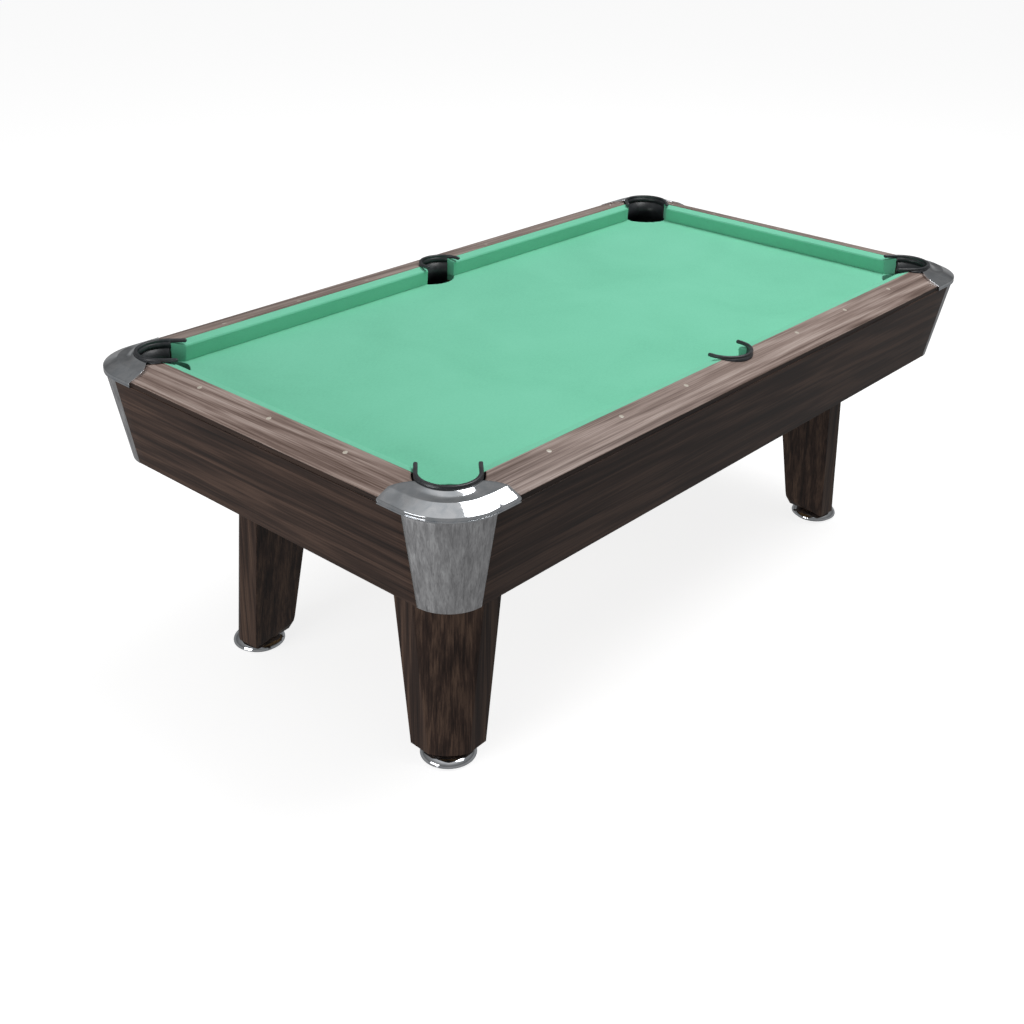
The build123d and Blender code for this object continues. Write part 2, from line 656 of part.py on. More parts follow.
LEG_BEAM_START = 210.0
LEG_BEAM_END = 416.0
LEG_BEAM_LOW = LEG_TOP + FLANGE_THICK
CROSS_BEAM_X = (-420.0, -140.0, 140.0, 420.0)
CROSS_BEAM_WIDTH = 36.0
CROSS_BEAM_HEIGHT = 70.0
FLANGE_REACH = 412.0
FLANGE_BACK = 4.0  # the plate stands this far inside the leg's outer faces
LEG_BOLT_INSET = 399.0
LEG_BOLT_SPOTS = ((LEG_BOLT_INSET, 250), (LEG_BOLT_INSET, 345), (250, LEG_BOLT_INSET),
                  (345, LEG_BOLT_INSET))
LEG_BOLT_LENGTH = 48.0


def inner_inset(level):
    """Inset of the apron's inner face at this height."""
    return APRON_THICK + LEAN * (APRON_TOP - level)


leg_beams = []
for end in (-1, 1):
    with BuildPart() as leg_beam:
        middle = end * (LENGTH / 2 - (LEG_BEAM_START + LEG_BEAM_END) / 2)
        with Locations((middle, 0, LEG_BEAM_LOW)):
            Box(LEG_BEAM_END - LEG_BEAM_START, WIDTH - 2 * inner_inset(LEG_BEAM_LOW),
                PANEL_LOW - LEG_BEAM_LOW, align=(Align.CENTER, Align.CENTER, Align.MIN))
        spots = [(end * (LENGTH / 2 - x), side * (WIDTH / 2 - y), LEG_BEAM_LOW)
                 for x, y in LEG_BOLT_SPOTS for side in (-1, 1)]
        with Locations(*spots):
            Cylinder(BOLT_RADIUS, LEG_BOLT_LENGTH, mode=Mode.SUBTRACT,
                     align=(Align.CENTER, Align.CENTER, Align.MIN))
    leg_beams.append(leg_beam.part)
group(leg_beams, "leg_beams")

cross_beams = []
for beam_x in CROSS_BEAM_X:
    with BuildPart() as cross_beam:
        beam_low = PANEL_LOW - CROSS_BEAM_HEIGHT
        with Locations((beam_x, 0, beam_low)):
            Box(CROSS_BEAM_WIDTH, WIDTH - 2 * inner_inset(beam_low), CROSS_BEAM_HEIGHT,
                align=(Align.CENTER, Align.CENTER, Align.MIN))
    cross_beams.append(cross_beam.part)
group(cross_beams, "cross_beams")

group([bolt(x, y, PANEL_LOW, RAIL_BOLT_TIP - PANEL_LOW) for x, y in rail_bolt_places],
      "rail_bolts")

# ---------------------------------------------------------------- legs
INSERT_RADIUS = 10.0
INSERT_FLANGE_RADIUS = 16.0
INSERT_FLANGE = 2.0
INSERT_LENGTH = 45.0
STUD_RADIUS = 5.0
STUD_CLEARANCE = 0.06
CLIP = 20.0  # the leg's inmost foot corner is cut off at a slant
CLIP_SLOPE = -0.85
CLIP_BLOCK = (200.0, 200.0, 60.0)
WALL_TURN = 0.4  # keeps the wall as thick behind the chamfered corner
LEG_CENTRE = LEG_INSET + LEG_SIZE_FOOT / 2
LEG_FLOOR = LEG_FOOT + INSERT_LENGTH


def leg_plan(level, shrink, bulge):
    """The leg's plan at a height: a square with its outer corner cut by a shallow curve."""
    size = LEG_SIZE_FOOT + (LEG_SIZE_TOP - LEG_SIZE_FOOT) * (level - LEG_FOOT) / (LEG_TOP - LEG_FOOT)
    near = LEG_INSET + shrink
    far = LEG_INSET + size - shrink
    turn = LEG_INSET + size - LEG_SIDE + shrink * WALL_TURN
    middle = (near + turn) / 2 - bulge / sqrt(2)
    with BuildSketch(Plane.XY.offset(level)) as plan:
        with BuildLine():
            ThreePointArc(corner_point(near, turn), corner_point(middle, middle),
                          corner_point(turn, near))
            Polyline(corner_point(turn, near), corner_point(far, near), corner_point(far, far),
                     corner_point(near, far), corner_point(near, turn))
        make_face()
    return plan.sketch


clip_x, clip_y = corner_point(LEG_INSET + LEG_SIZE_FOOT - CLIP, LEG_INSET + LEG_SIZE_FOOT)
with BuildPart() as leg_cavity:
    add(leg_plan(LEG_FLOOR, LEG_WALL, LEG_BULGE))
    add(leg_plan(LEG_TOP, LEG_WALL, LEG_BULGE))
    loft(ruled=True)

with BuildPart() as leg:
    add(leg_plan(LEG_FOOT, 0, LEG_BULGE))
    add(leg_plan(LEG_TOP, 0, LEG_BULGE))
    loft(ruled=True)
    add(leg_cavity.part, mode=Mode.SUBTRACT)
    with Locations((*corner_point(LEG_CENTRE, LEG_CENTRE), LEG_FOOT)):
        Cylinder(INSERT_RADIUS, INSERT_LENGTH + 1, mode=Mode.SUBTRACT,
                 align=(Align.CENTER, Align.CENTER, Align.MIN))
    with Locations(Plane((clip_x, clip_y, LEG_FOOT), z_dir=(1, 1, CLIP_SLOPE))):
        Box(*CLIP_BLOCK, mode=Mode.SUBTRACT, align=(Align.CENTER, Align.CENTER, Align.MIN))
four(leg.part, "leg")

with BuildPart() as flange:
    with BuildSketch(Plane.XY.offset(LEG_TOP)):
        with BuildLine():
            near = LEG_INSET + FLANGE_BACK
            turn = LEG_INSET + LEG_SIZE_TOP - LEG_SIDE
            Polyline(corner_point(near, turn), corner_point(turn, near),
                     corner_point(FLANGE_REACH, near), corner_point(FLANGE_REACH, FLANGE_REACH),
                     corner_point(near, FLANGE_REACH), close=True)
        make_face()
        with Locations(*[corner_point(x, y) for x, y in LEG_BOLT_SPOTS]):
            Circle(BOLT_RADIUS + FIT, mode=Mode.SUBTRACT)
    extrude(amount=FLANGE_THICK)
group([placed(flange.part, *signs) for signs in CORNERS.values()], "leg_flanges")

leg_bolts = []
for spot_x, spot_y in LEG_BOLT_SPOTS:
    leg_bolt = bolt(*corner_point(spot_x, spot_y), LEG_TOP, LEG_BOLT_LENGTH)
    for signs in CORNERS.values():
        leg_bolts.append(placed(leg_bolt, *signs))
group(leg_bolts, "leg_bolts")

with BuildPart(Plane((*corner_point(LEG_CENTRE, LEG_CENTRE), LEG_FOOT))) as insert:
    Cylinder(INSERT_RADIUS, INSERT_LENGTH, align=(Align.CENTER, Align.CENTER, Align.MIN))
    Cylinder(INSERT_FLANGE_RADIUS, INSERT_FLANGE, align=(Align.CENTER, Align.CENTER, Align.MAX))
    Hole(STUD_RADIUS + STUD_CLEARANCE)
group([placed(insert.part, *signs) for signs in CORNERS.values()], "leg_inserts")

# ---------------------------------------------------------------- levelling feet
PAD_RADIUS = 57.0
PAD_THICK = 5.7
PAD_ROUND = 1.2
BOSS_RADIUS = 9.0
BOSS_TOP = 10.0
GAP = 0.3
DISC_RADIUS = 66.0
DISC_EDGE = 4.0
DISC_TOP = LEG_FOOT - INSERT_FLANGE - GAP
DISC_CROWN_RADIUS = 24.0
DISC_DOME = 0.62  # share of its rise that the dome has half-way down its slope
DISC_CHAMFER = 1.0
STUD_LOW = 13.0
STUD_TOP = 96.0
STUD_CHAMFER = 1.0

foot_x, foot_y = corner_point(LEG_CENTRE, LEG_CENTRE)
foot_axis = Axis((foot_x, foot_y, 0), (0, 0, 1))

with BuildPart(Plane((foot_x, foot_y, 0))) as pad:
    Cylinder(PAD_RADIUS, PAD_THICK, align=(Align.CENTER, Align.CENTER, Align.MIN))
    fillet(pad.edges().sort_by(Axis.Z)[-1:], PAD_ROUND)
    Cylinder(BOSS_RADIUS, BOSS_TOP, align=(Align.CENTER, Align.CENTER, Align.MIN))
four(pad.part, "foot_pad")

with BuildPart() as disc:
    with BuildSketch(Plane.XZ.offset(-foot_y)):
        with BuildLine():
            low = PAD_THICK + GAP
            recess = BOSS_RADIUS + STUD_CLEARANCE
            rise = (DISC_TOP - low - DISC_EDGE) * DISC_DOME + low + DISC_EDGE
            Polyline((foot_x + DISC_RADIUS, low + DISC_EDGE), (foot_x + DISC_RADIUS, low + DISC_CHAMFER),
                     (foot_x + DISC_RADIUS - DISC_CHAMFER, low), (foot_x + recess, low),
                     (foot_x + recess, BOSS_TOP + GAP), (foot_x + STUD_RADIUS, BOSS_TOP + GAP),
                     (foot_x + STUD_RADIUS, DISC_TOP), (foot_x + DISC_CROWN_RADIUS, DISC_TOP))
            ThreePointArc((foot_x + DISC_CROWN_RADIUS, DISC_TOP),
                          (foot_x + (DISC_CROWN_RADIUS + DISC_RADIUS) / 2, rise),
                          (foot_x + DISC_RADIUS, low + DISC_EDGE))
        make_face()
    revolve(axis=foot_axis)
four(disc.part, "foot_disc")

with BuildPart(Plane((foot_x, foot_y, STUD_LOW))) as stud:
    Cylinder(STUD_RADIUS, STUD_TOP - STUD_LOW, align=(Align.CENTER, Align.CENTER, Align.MIN))
    chamfer(stud.edges().sort_by(Axis.Z)[-1:], STUD_CHAMFER)
four(stud.part, "foot_stud")

print("overall", LENGTH + 2 * LIP_PROUD, WIDTH + 2 * LIP_PROUD, RIM_TOP)
print("foot inset", LEG_CENTRE, "corner mouth", (CORNER_STATION_NOSE - NOSE_INSET) * sqrt(2))
print("balls across the corner bore", 2 * CORNER_BORE / BALL)
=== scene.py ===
"""Seven-foot pool table on four screw-levelled legs, in metres.

X runs along the table, Y across it and Z up from the floor. "Inset" is a distance in from the line
of the rails' outer faces, and "station" a distance along a side from the table's square corner.
"""

import bmesh
import bpy
import numpy as np
from mathutils import Matrix, Vector


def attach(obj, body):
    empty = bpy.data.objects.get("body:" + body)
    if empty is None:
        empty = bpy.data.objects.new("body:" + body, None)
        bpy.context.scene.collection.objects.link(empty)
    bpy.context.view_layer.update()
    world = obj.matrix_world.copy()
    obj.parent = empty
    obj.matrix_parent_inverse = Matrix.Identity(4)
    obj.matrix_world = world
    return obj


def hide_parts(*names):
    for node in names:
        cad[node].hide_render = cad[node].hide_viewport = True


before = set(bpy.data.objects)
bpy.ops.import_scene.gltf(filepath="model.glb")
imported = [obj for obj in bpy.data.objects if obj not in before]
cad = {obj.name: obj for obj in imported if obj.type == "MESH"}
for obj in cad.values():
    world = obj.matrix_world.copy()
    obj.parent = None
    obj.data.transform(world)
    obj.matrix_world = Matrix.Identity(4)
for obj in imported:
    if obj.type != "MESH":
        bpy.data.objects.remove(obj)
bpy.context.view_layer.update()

# ---------------------------------------------------------------- bed board, beams and corner posts
# The bed is a 20 mm board of pressed wood chips on four cross beams and two wider beams over the
# legs. Solid posts of the same board fill the rounded corners behind the metal shields.
CHIP_TAN = (150, 118, 82)
CHIP_DARK = (96, 70, 44)
CHIP_PALE = (196, 168, 126)


def paint(card):
    """Linear colour for a paint card given as red, green and blue from 0 to 255."""
    share = np.array(card) / 255
    linear = np.where(share <= 0.04045, share / 12.92, ((share + 0.055) / 1.055) ** 2.4)
    return (*(float(x) for x in linear), 1.0)


def finish(name, **plain):
    """A new material; the plain numbers go straight onto its shader's sockets."""
    made = bpy.data.materials.new(name)
    made.use_nodes = True
    shader = made.node_tree.nodes["Principled BSDF"]
    for socket, value in plain.items():
        shader.inputs[socket.replace("_", " ")].default_value = value
    return made


def wire(made, value, socket):
    """Links a node or an output to the socket, or sets a plain value on it."""
    if isinstance(value, bpy.types.Node):
        value = value.outputs[0]
    if isinstance(value, bpy.types.NodeSocket):
        made.node_tree.links.new(value, socket)
    else:
        socket.default_value = value


def add(made, kind, inputs, **settings):
    """A shader node of this kind with its settings and its wired inputs."""
    fresh = made.node_tree.nodes.new("ShaderNode" + kind)
    for key, value in settings.items():
        setattr(fresh, key, value)
    for key, value in inputs.items():
        wire(made, value, fresh.inputs[key])
    return fresh


def ramp(made, factor, *stops):
    """Colour found from a factor, through stops of position and colour."""
    band = add(made, "ValToRGB", {"Fac": factor})
    for _ in range(len(stops) - 2):
        band.color_ramp.elements.new(0.5)
    for element, (at, colour) in zip(band.color_ramp.elements, stops):
        element.position = at
        element.color = colour
    return band


def weighed(made, share, first, second):
    """Between two numbers, by share."""
    return add(made, "Mix", {0: share, 2: first, 3: second})


def tinted(made, share, first, second, way="MIX"):
    """Between two colours, by share."""
    return add(made, "Mix", {0: share, 6: first, 7: second}, data_type="RGBA",
               blend_type=way).outputs[2]


def between(made, factor, low, high, start=0.0, end=1.0):
    """A number that goes from low to high as the factor goes from start to end."""
    return add(made, "MapRange", {"Value": factor, "From Min": start, "From Max": end,
                                  "To Min": low, "To Max": high})


def stretched(made, scale, shift=(0, 0, 0)):
    """The piece's own coordinates in metres, stretched and shifted."""
    place = add(made, "TexCoord", {}).outputs["Object"]
    return add(made, "Mapping", {"Vector": place, "Scale": scale, "Location": shift})


def noise(made, vector, scale, detail=3.0, rough=0.5, warp=0.0):
    """Cloudy noise."""
    return add(made, "TexNoise", {"Vector": vector, "Scale": scale, "Detail": detail,
                                  "Roughness": rough, "Distortion": warp})


def dress(made, colour=None, roughness=None, height=None, depth=0.0):
    """Wires the material's colour, roughness and relief."""
    shader = made.node_tree.nodes["Principled BSDF"]
    if colour is not None:
        wire(made, colour, shader.inputs["Base Color"])
    if roughness is not None:
        wire(made, roughness, shader.inputs["Roughness"])
    if height is not None:
        bump = add(made, "Bump", {"Height": height, "Distance": depth, "Strength": 1.0})
        wire(made, bump, shader.inputs["Normal"])
    return made


def chip_board(name):
    """Pressed wood chips: flat flakes of three tans with darker specks between."""
    made = finish(name, Specular_IOR_Level=0.3)
    flakes = add(made, "TexVoronoi", {"Vector": stretched(made, (1, 1, 2.5)), "Scale": 260.0})
    specks = noise(made, stretched(made, (1, 1, 1)), 420.0, 4.0, 0.7)
    tone = ramp(made, flakes.outputs["Color"], (0.1, paint(CHIP_DARK)), (0.5, paint(CHIP_TAN)),
                (0.95, paint(CHIP_PALE)))
    colour = tinted(made, between(made, specks, 0.0, 0.5, 0.55, 0.75), tone.outputs[0],
                    paint(CHIP_DARK))
    return dress(made, colour, between(made, specks, 0.7, 0.95), flakes.outputs["Distance"], 0.0004)


def coat(node, made):
    """Gives a CAD node its finish."""
    mesh = cad[node].data
    mesh.materials.clear()
    mesh.materials.append(made)


chips = chip_board("chip_board")
for node in ("bed_panel", "leg_beams", "cross_beams", "corner_posts", "cushion_backers"):
    coat(node, chips)

# ---------------------------------------------------------------- bed cloth
# A napped green cloth is stretched flat over the board and glued down over the edge of each
# pocket hole, where the pull leaves faint puckers.
HALF_X = 1.065  # from the middle to the line of the rails' outer faces
HALF_Y = 0.5915
CLOTH_Z = 0.752
BOARD_INSET = 0.02596
BED_BEND = 0.126  # inset of the centres about which the board's corners are rounded
PATCH = 0.180  # side of the square of cloth about each pocket
CORNER_CENTRE = 0.133  # inset of a corner pocket from both sides
SIDE_CENTRE = 0.120
CORNER_HOLE = (0.0635, 0.094, 0.055)  # radius behind, radius of the shelf, reach of the shelf
SIDE_HOLE = (0.0605, 0.070, 0.019)
SIDE_STEPS = 18  # faces along each side of a pocket's square of cloth
FOLD = 0.0015
CLEAR = 0.0005  # by which the cloth stands off the hole's wall
TUCK = 0.015  # how far the cloth runs down inside a hole
CLOTH_GREEN = (118, 202, 169)
CLOTH_WORN = (124, 207, 175)
CLOTH_DEEP = (110, 193, 160)


def surface(name, grids, facing=None):
    """One mesh from grids of points, each of rows by columns by three.

    Every four neighbours make a face, points that meet are merged, which closes seams and poles,
    and the UVs are each point's share of its grid's columns and rows. A closed shape's faces look
    outwards, and an open sheet's look the way `facing` points.
    """
    points, quads, shares = [], [], []
    count = 0
    for grid in grids:
        rows, columns = grid.shape[:2]
        index = count + np.arange(rows * columns).reshape(rows, columns)
        quads.append(np.stack([index[:-1, :-1], index[1:, :-1], index[1:, 1:], index[:-1, 1:]],
                              -1).reshape(-1, 4))
        down, across = np.meshgrid(np.linspace(0, 1, rows), np.linspace(0, 1, columns),
                                   indexing="ij")
        shares.append(np.stack([across, down], -1).reshape(-1, 2))
        points.append(grid.reshape(-1, 3))
        count += rows * columns
    points, quads, shares = (np.concatenate(x) for x in (points, quads, shares))
    mesh = bpy.data.meshes.new(name)
    mesh.from_pydata(points.tolist(), [], quads.tolist())
    layer = mesh.uv_layers.new(name="UVMap")
    layer.data.foreach_set("uv", shares[quads.ravel()].astype(np.float32).ravel())
    build = bmesh.new()
    build.from_mesh(mesh)
    bmesh.ops.remove_doubles(build, verts=build.verts, dist=2e-6)
    bmesh.ops.dissolve_degenerate(build, edges=build.edges, dist=1e-7)
    bmesh.ops.recalc_face_normals(build, faces=build.faces)
    if facing is not None:
        build.normal_update()
        if sum(f.normal.dot(Vector(facing)) * f.calc_area() for f in build.faces) < 0:
            bmesh.ops.reverse_faces(build, faces=build.faces)
    build.to_mesh(mesh)
    build.free()
    mesh.shade_smooth()
    piece = bpy.data.objects.new(name, mesh)
    bpy.context.scene.collection.objects.link(piece)
    return piece


def fit_out(piece, made, body, slot, *stands_for):
    """Gives a piece its finish and the body it rides on, and hides the CAD nodes it stands for. The
    slot is not used.
    """
    piece.data.materials.append(made)
    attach(piece, body)
    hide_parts(*stands_for)
    return piece


def flat_cloth(x0, x1, y0, y1, across, along):
    """A plain rectangle of the cloth as a grid."""
    x, y = np.meshgrid(np.linspace(x0, x1, across + 1), np.linspace(y0, y1, along + 1),
                       indexing="ij")
    return np.stack([x, y, np.full_like(x, CLOTH_Z)], -1)


def pocket_cloth(x0, x1, y0, y1, centre, heading, bore, shelf_radius, shelf):
    """A square of cloth with the pocket's hole.

    Each ray from the hole's middle to a point of the square's edge meets the hole where the nearer
    of two circles lies: its round back, or the flatter shelf in front. Along the ray the cloth
    runs flat, ripples a little, folds over a small radius and hangs down inside. The board's own
    corner pulls in the square's edge to an arc.
    """
    side, still = np.linspace(0, 1, SIDE_STEPS + 1)[:-1], np.zeros(SIDE_STEPS)
    edge = np.concatenate([
        np.stack([x0 + (x1 - x0) * side, y0 + still], -1),
        np.stack([x1 + still, y0 + (y1 - y0) * side], -1),
        np.stack([x1 - (x1 - x0) * side, y1 + still], -1),
        np.stack([x0 + still, y1 - (y1 - y0) * side], -1)])
    edge = np.concatenate([edge, edge[:1]])
    bend = np.array([HALF_X - BED_BEND, HALF_Y - BED_BEND])
    past = edge - np.clip(edge, -bend, bend)
    spill = np.hypot(past[:, 0], past[:, 1])[:, None]
    edge = edge - past * np.maximum(0, 1 - (BED_BEND - BOARD_INSET) / np.maximum(spill, 1e-6))
    ray = edge - np.array(centre)
    reach = np.hypot(ray[:, 0], ray[:, 1])
    ray = ray / reach[:, None]
    back = (shelf - shelf_radius) * (ray[:, 0] * np.cos(heading) + ray[:, 1] * np.sin(heading))
    front = back + np.sqrt(back ** 2 + shelf_radius ** 2 - (shelf - shelf_radius) ** 2)
    hole = np.minimum(bore, front)
    share = np.linspace(0, 1, 9)[:, None]
    flat = reach + (hole + FOLD - CLEAR - reach) * share ** 0.7
    turn = np.linspace(0, np.pi / 2, 6)[1:, None]
    fold = hole - CLEAR + FOLD * (1 - np.sin(turn))
    down = np.repeat((hole - CLEAR)[None], 3, 0)
    radius = np.concatenate([flat, fold, down])
    angle = np.arctan2(ray[:, 1], ray[:, 0])
    ripple = 0.00025 * np.cos(17 * angle) * np.exp((hole - flat) / 0.014)
    ripple[0] = 0
    height = np.concatenate([
        CLOTH_Z + ripple,
        np.broadcast_to(CLOTH_Z - FOLD * (1 - np.cos(turn)) + ripple[-1], fold.shape),
        CLOTH_Z - FOLD - TUCK * np.array([0.3, 0.7, 1.0])[:, None] + 0 * down])
    return np.stack([centre[0] + radius * ray[:, 0], centre[1] + radius * ray[:, 1], height], -1)


def green_cloth(name, deep, middle, worn, lay):
    """Napped cloth: broad soft patches, short fibres lying one way, and a fine weave."""
    made = finish(name, Specular_IOR_Level=0.2, Sheen_Weight=0.12, Sheen_Roughness=0.45)
    patches = noise(made, stretched(made, (1, 1, 1)), 3.2, 4.0, 0.55, 0.4)
    fibres = noise(made, stretched(made, lay), 420.0, 2.0, 0.6)
    threads = add(made, "TexWave", {"Vector": stretched(made, (1, 1, 1)), "Scale": 620.0,
                                    "Distortion": 1.5, "Detail": 1.0}, bands_direction="X")
    cross = add(made, "TexWave", {"Vector": stretched(made, (1, 1, 1)), "Scale": 620.0,
                                  "Distortion": 1.5, "Detail": 1.0}, bands_direction="Y")
    weave = weighed(made, 0.5, threads.outputs["Fac"], cross.outputs["Fac"])
    tone = ramp(made, weighed(made, 0.45, patches, fibres), (0.32, paint(deep)),
                (0.5, paint(middle)), (0.68, paint(worn)))
    colour = tinted(made, between(made, weave, 0.0, 0.10), tone.outputs[0], paint(deep))
    return dress(made, colour, between(made, fibres, 0.82, 0.98),
                 weighed(made, 0.6, weave, fibres), 0.00012)


edge_x, edge_y = HALF_X - BOARD_INSET, HALF_Y - BOARD_INSET
lines_x = (-edge_x, PATCH - edge_x, -PATCH / 2, PATCH / 2, edge_x - PATCH, edge_x)
lines_y = (-edge_y, PATCH - edge_y, edge_y - PATCH, edge_y)
cells_x = (SIDE_STEPS, 64, SIDE_STEPS, 64, SIDE_STEPS)
cells_y = (SIDE_STEPS, 64, SIDE_STEPS)
patches = []
for i in range(5):
    for j in range(3):
        square = (lines_x[i], lines_x[i + 1], lines_y[j], lines_y[j + 1])
        if j != 1 and i == 2:
            middle = (0.0, (j - 1) * (HALF_Y - SIDE_CENTRE))
            patches.append(pocket_cloth(*square, middle, (1 - j) * np.pi / 2, *SIDE_HOLE))
        elif j != 1 and i in (0, 4):
            end, side = (-1 if i == 0 else 1), j - 1
            middle = (end * (HALF_X - CORNER_CENTRE), side * (HALF_Y - CORNER_CENTRE))
            patches.append(pocket_cloth(*square, middle, np.arctan2(-side, -end), *CORNER_HOLE))
        else:
            patches.append(flat_cloth(*square, cells_x[i], cells_y[j]))
bed_cloth = surface("bed_cloth_sheet", patches, facing=(0, 0, 1))
bed_green = green_cloth("bed_green", CLOTH_DEEP, CLOTH_GREEN, CLOTH_WORN, (0.25, 1, 1))
fit_out(bed_cloth, bed_green, "table", "cloth", "bed_cloth")

# ---------------------------------------------------------------- aprons
# Four boards, faced with dark walnut foil, lean in from the rails down to the foot of the cabinet.
# Each stands a little proud of the rail above, so its top edge catches the light.
APRON_TOP, APRON_FOOT, APRON_LEAN, APRON_THICK = 0.767, 0.545, 0.038, 0.018
CORNER_RADIUS = 0.127
APRON_DARK, APRON_BROWN, APRON_PALE = (36, 26, 22), (62, 46, 39), (96, 75, 64)


def rounded(corners, radii, steps=4):
    """A closed outline through the corners, each one turned as an arc of its own radius."""
    corners, outline = np.array(corners, float), []
    for i, radius in enumerate(radii):
        here, before, after = corners[i], corners[i - 1], corners[(i + 1) % len(corners)]
        first = (before - here) / np.linalg.norm(before - here)
        second = (after - here) / np.linalg.norm(after - here)
        half = np.arccos(np.clip(first @ second, -1, 1)) / 2
        middle = here + (first + second) / np.linalg.norm(first + second) * radius / np.sin(half)
        start, end = here + first * radius / np.tan(half), here + second * radius / np.tan(half)
        share = np.linspace(0, 1, steps + 1)[:, None]
        chord = start + (end - start) * share - middle
        outline.append(middle + chord / np.linalg.norm(chord, axis=1)[:, None] * radius)
    outline = np.concatenate(outline)
    return np.concatenate([outline, outline[:1]])


def closed_ends(rows):
    """Rows of a ring with both ends shut: each end's ring shrunk to its middle point."""
    ends = rows[[0, -1]]
    middles = ends[:, :-1].mean(1, keepdims=True) + 0 * ends
    return np.concatenate([middles[:1], rows, middles[1:]])


def along_side(run, inset, height, side):
    """Points given by their run along a side, inset and height, for the four sides."""
    if side in ("front", "back"):
        sign = -1 if side == "front" else 1
        return np.stack([run, sign * (HALF_Y - inset), height], -1)
    sign = -1 if side == "left" else 1
    return np.stack([sign * (HALF_X - inset), run, height], -1)


def walnut(name, axis, dark, brown, pale, seed):
    """Walnut foil: broad bands, wandering rings, fine streaks and short pores along one axis."""
    made = finish(name, Specular_IOR_Level=0.28, Coat_Weight=0.04, Coat_Roughness=0.3)

    def grain(run, across):
        scale = [across] * 3
        scale[axis] = run
        return stretched(made, scale, (seed * 1.7, seed * 2.3, seed * 3.1))

    bands = noise(made, grain(0.55, 9.0), 1.6, 5.0, 0.55, 0.8)
    rings = add(made, "TexWave", {"Vector": grain(0.35, 6.0), "Scale": 2.6, "Distortion": 11.0,
                                  "Detail": 4.0, "Detail Scale": 1.1, "Detail Roughness": 0.6},
                bands_direction="DIAGONAL")
    streaks = noise(made, grain(2.6, 230.0), 1.0, 5.0, 0.68)
    pores = noise(made, grain(26.0, 700.0), 1.0, 2.0, 0.5)
    tone = weighed(made, 0.58, weighed(made, 0.25, bands, rings.outputs["Fac"]), streaks)
    colour = ramp(made, tone, (0.36, paint(dark)), (0.49, paint(brown)), (0.64, paint(pale)))
    pitted = between(made, pores, 0.0, 0.38, 0.60, 0.76)
    colour = tinted(made, pitted, colour.outputs[0], paint(dark))
    return dress(made, colour, between(made, streaks, 0.30, 0.52),
                 weighed(made, 0.5, streaks, between(made, pores, 1.0, 0.0, 0.5, 0.8)), 0.00008)


def weight_normals(piece):
    """Shades the flats flat and only the rounded edges round."""
    piece.modifiers.new("flats", "WEIGHTED_NORMAL").keep_sharp = True


apron_outline = rounded([(0.0, APRON_TOP), (APRON_THICK, APRON_TOP),
                         (APRON_THICK + APRON_LEAN, APRON_FOOT), (APRON_LEAN, APRON_FOOT)],
                        [0.0012, 0.0008, 0.001, 0.0015])
for side in ("front", "back", "left", "right"):
    half = (HALF_X if side in ("front", "back") else HALF_Y) - CORNER_RADIUS
    run = np.linspace(-half, half, 33)[:, None] + 0 * apron_outline[None, :, 0]
    rows = along_side(run, np.broadcast_to(apron_outline[:, 0], run.shape),
                      np.broadcast_to(apron_outline[:, 1], run.shape), side)
    apron = surface(f"apron_board_{side}", [closed_ends(rows)])
    weight_normals(apron)
    foil = walnut(f"apron_walnut_{side}", 0 if side in ("front", "back") else 1,
                  APRON_DARK, APRON_BROWN, APRON_PALE, 1.0 + len(side))
    fit_out(apron, foil, "table", "apron_wood", f"apron_{side}")

# ---------------------------------------------------------------- corner shields
# A quarter cone of sheet metal is pinned round each corner of the cabinet, flush with the aprons.
# Its mill finish has long upright streaks, and its two edges are folded and polished.
SHIELD_THICK = 0.002
SHIELD_DARK, SHIELD_GREY, SHIELD_LIGHT = (168, 168, 170), (210, 210, 212), (246, 247, 248)
CORNERS = {"front_left": (1, 1), "front_right": (-1, 1), "back_left": (1, -1),
           "back_right": (-1, -1)}


def mirrored(points, corner):
    """A front left piece's points at another corner."""
    return points * np.array([*CORNERS[corner], 1.0])


def corner_shield(corner):
    """A cone's quarter: the ring of a thin shell's section, carried from its top to its foot.

    The outer face runs through the quarter turn and swells in a slight bead along each edge, and
    the inner face runs back.
    """
    height = np.linspace(APRON_FOOT, APRON_TOP, 25)[:, None]
    radius = CORNER_RADIUS - APRON_LEAN * (APRON_TOP - height) / (APRON_TOP - APRON_FOOT)
    angle = np.linspace(0, np.pi / 2, 49)[None]
    bead = 0.0007 * np.exp(-(np.minimum(angle, np.pi / 2 - angle) / 0.018) ** 2)
    depth = np.concatenate([bead, np.full((1, 49), -SHIELD_THICK)], 1)
    depth = np.concatenate([depth, depth[:, :1]], 1)
    angle = np.concatenate([angle, angle[:, ::-1]], 1)
    angle = np.concatenate([angle, angle[:, :1]], 1)
    ring = radius + depth
    x = CORNER_RADIUS - HALF_X - ring * np.cos(angle)
    y = CORNER_RADIUS - HALF_Y - ring * np.sin(angle)
    shell = np.stack([x, y, height + 0 * ring], -1)
    middle = (shell + shell[:, ::-1]) / 2
    return mirrored(np.concatenate([middle[:1], shell, middle[-1:]]), corner)


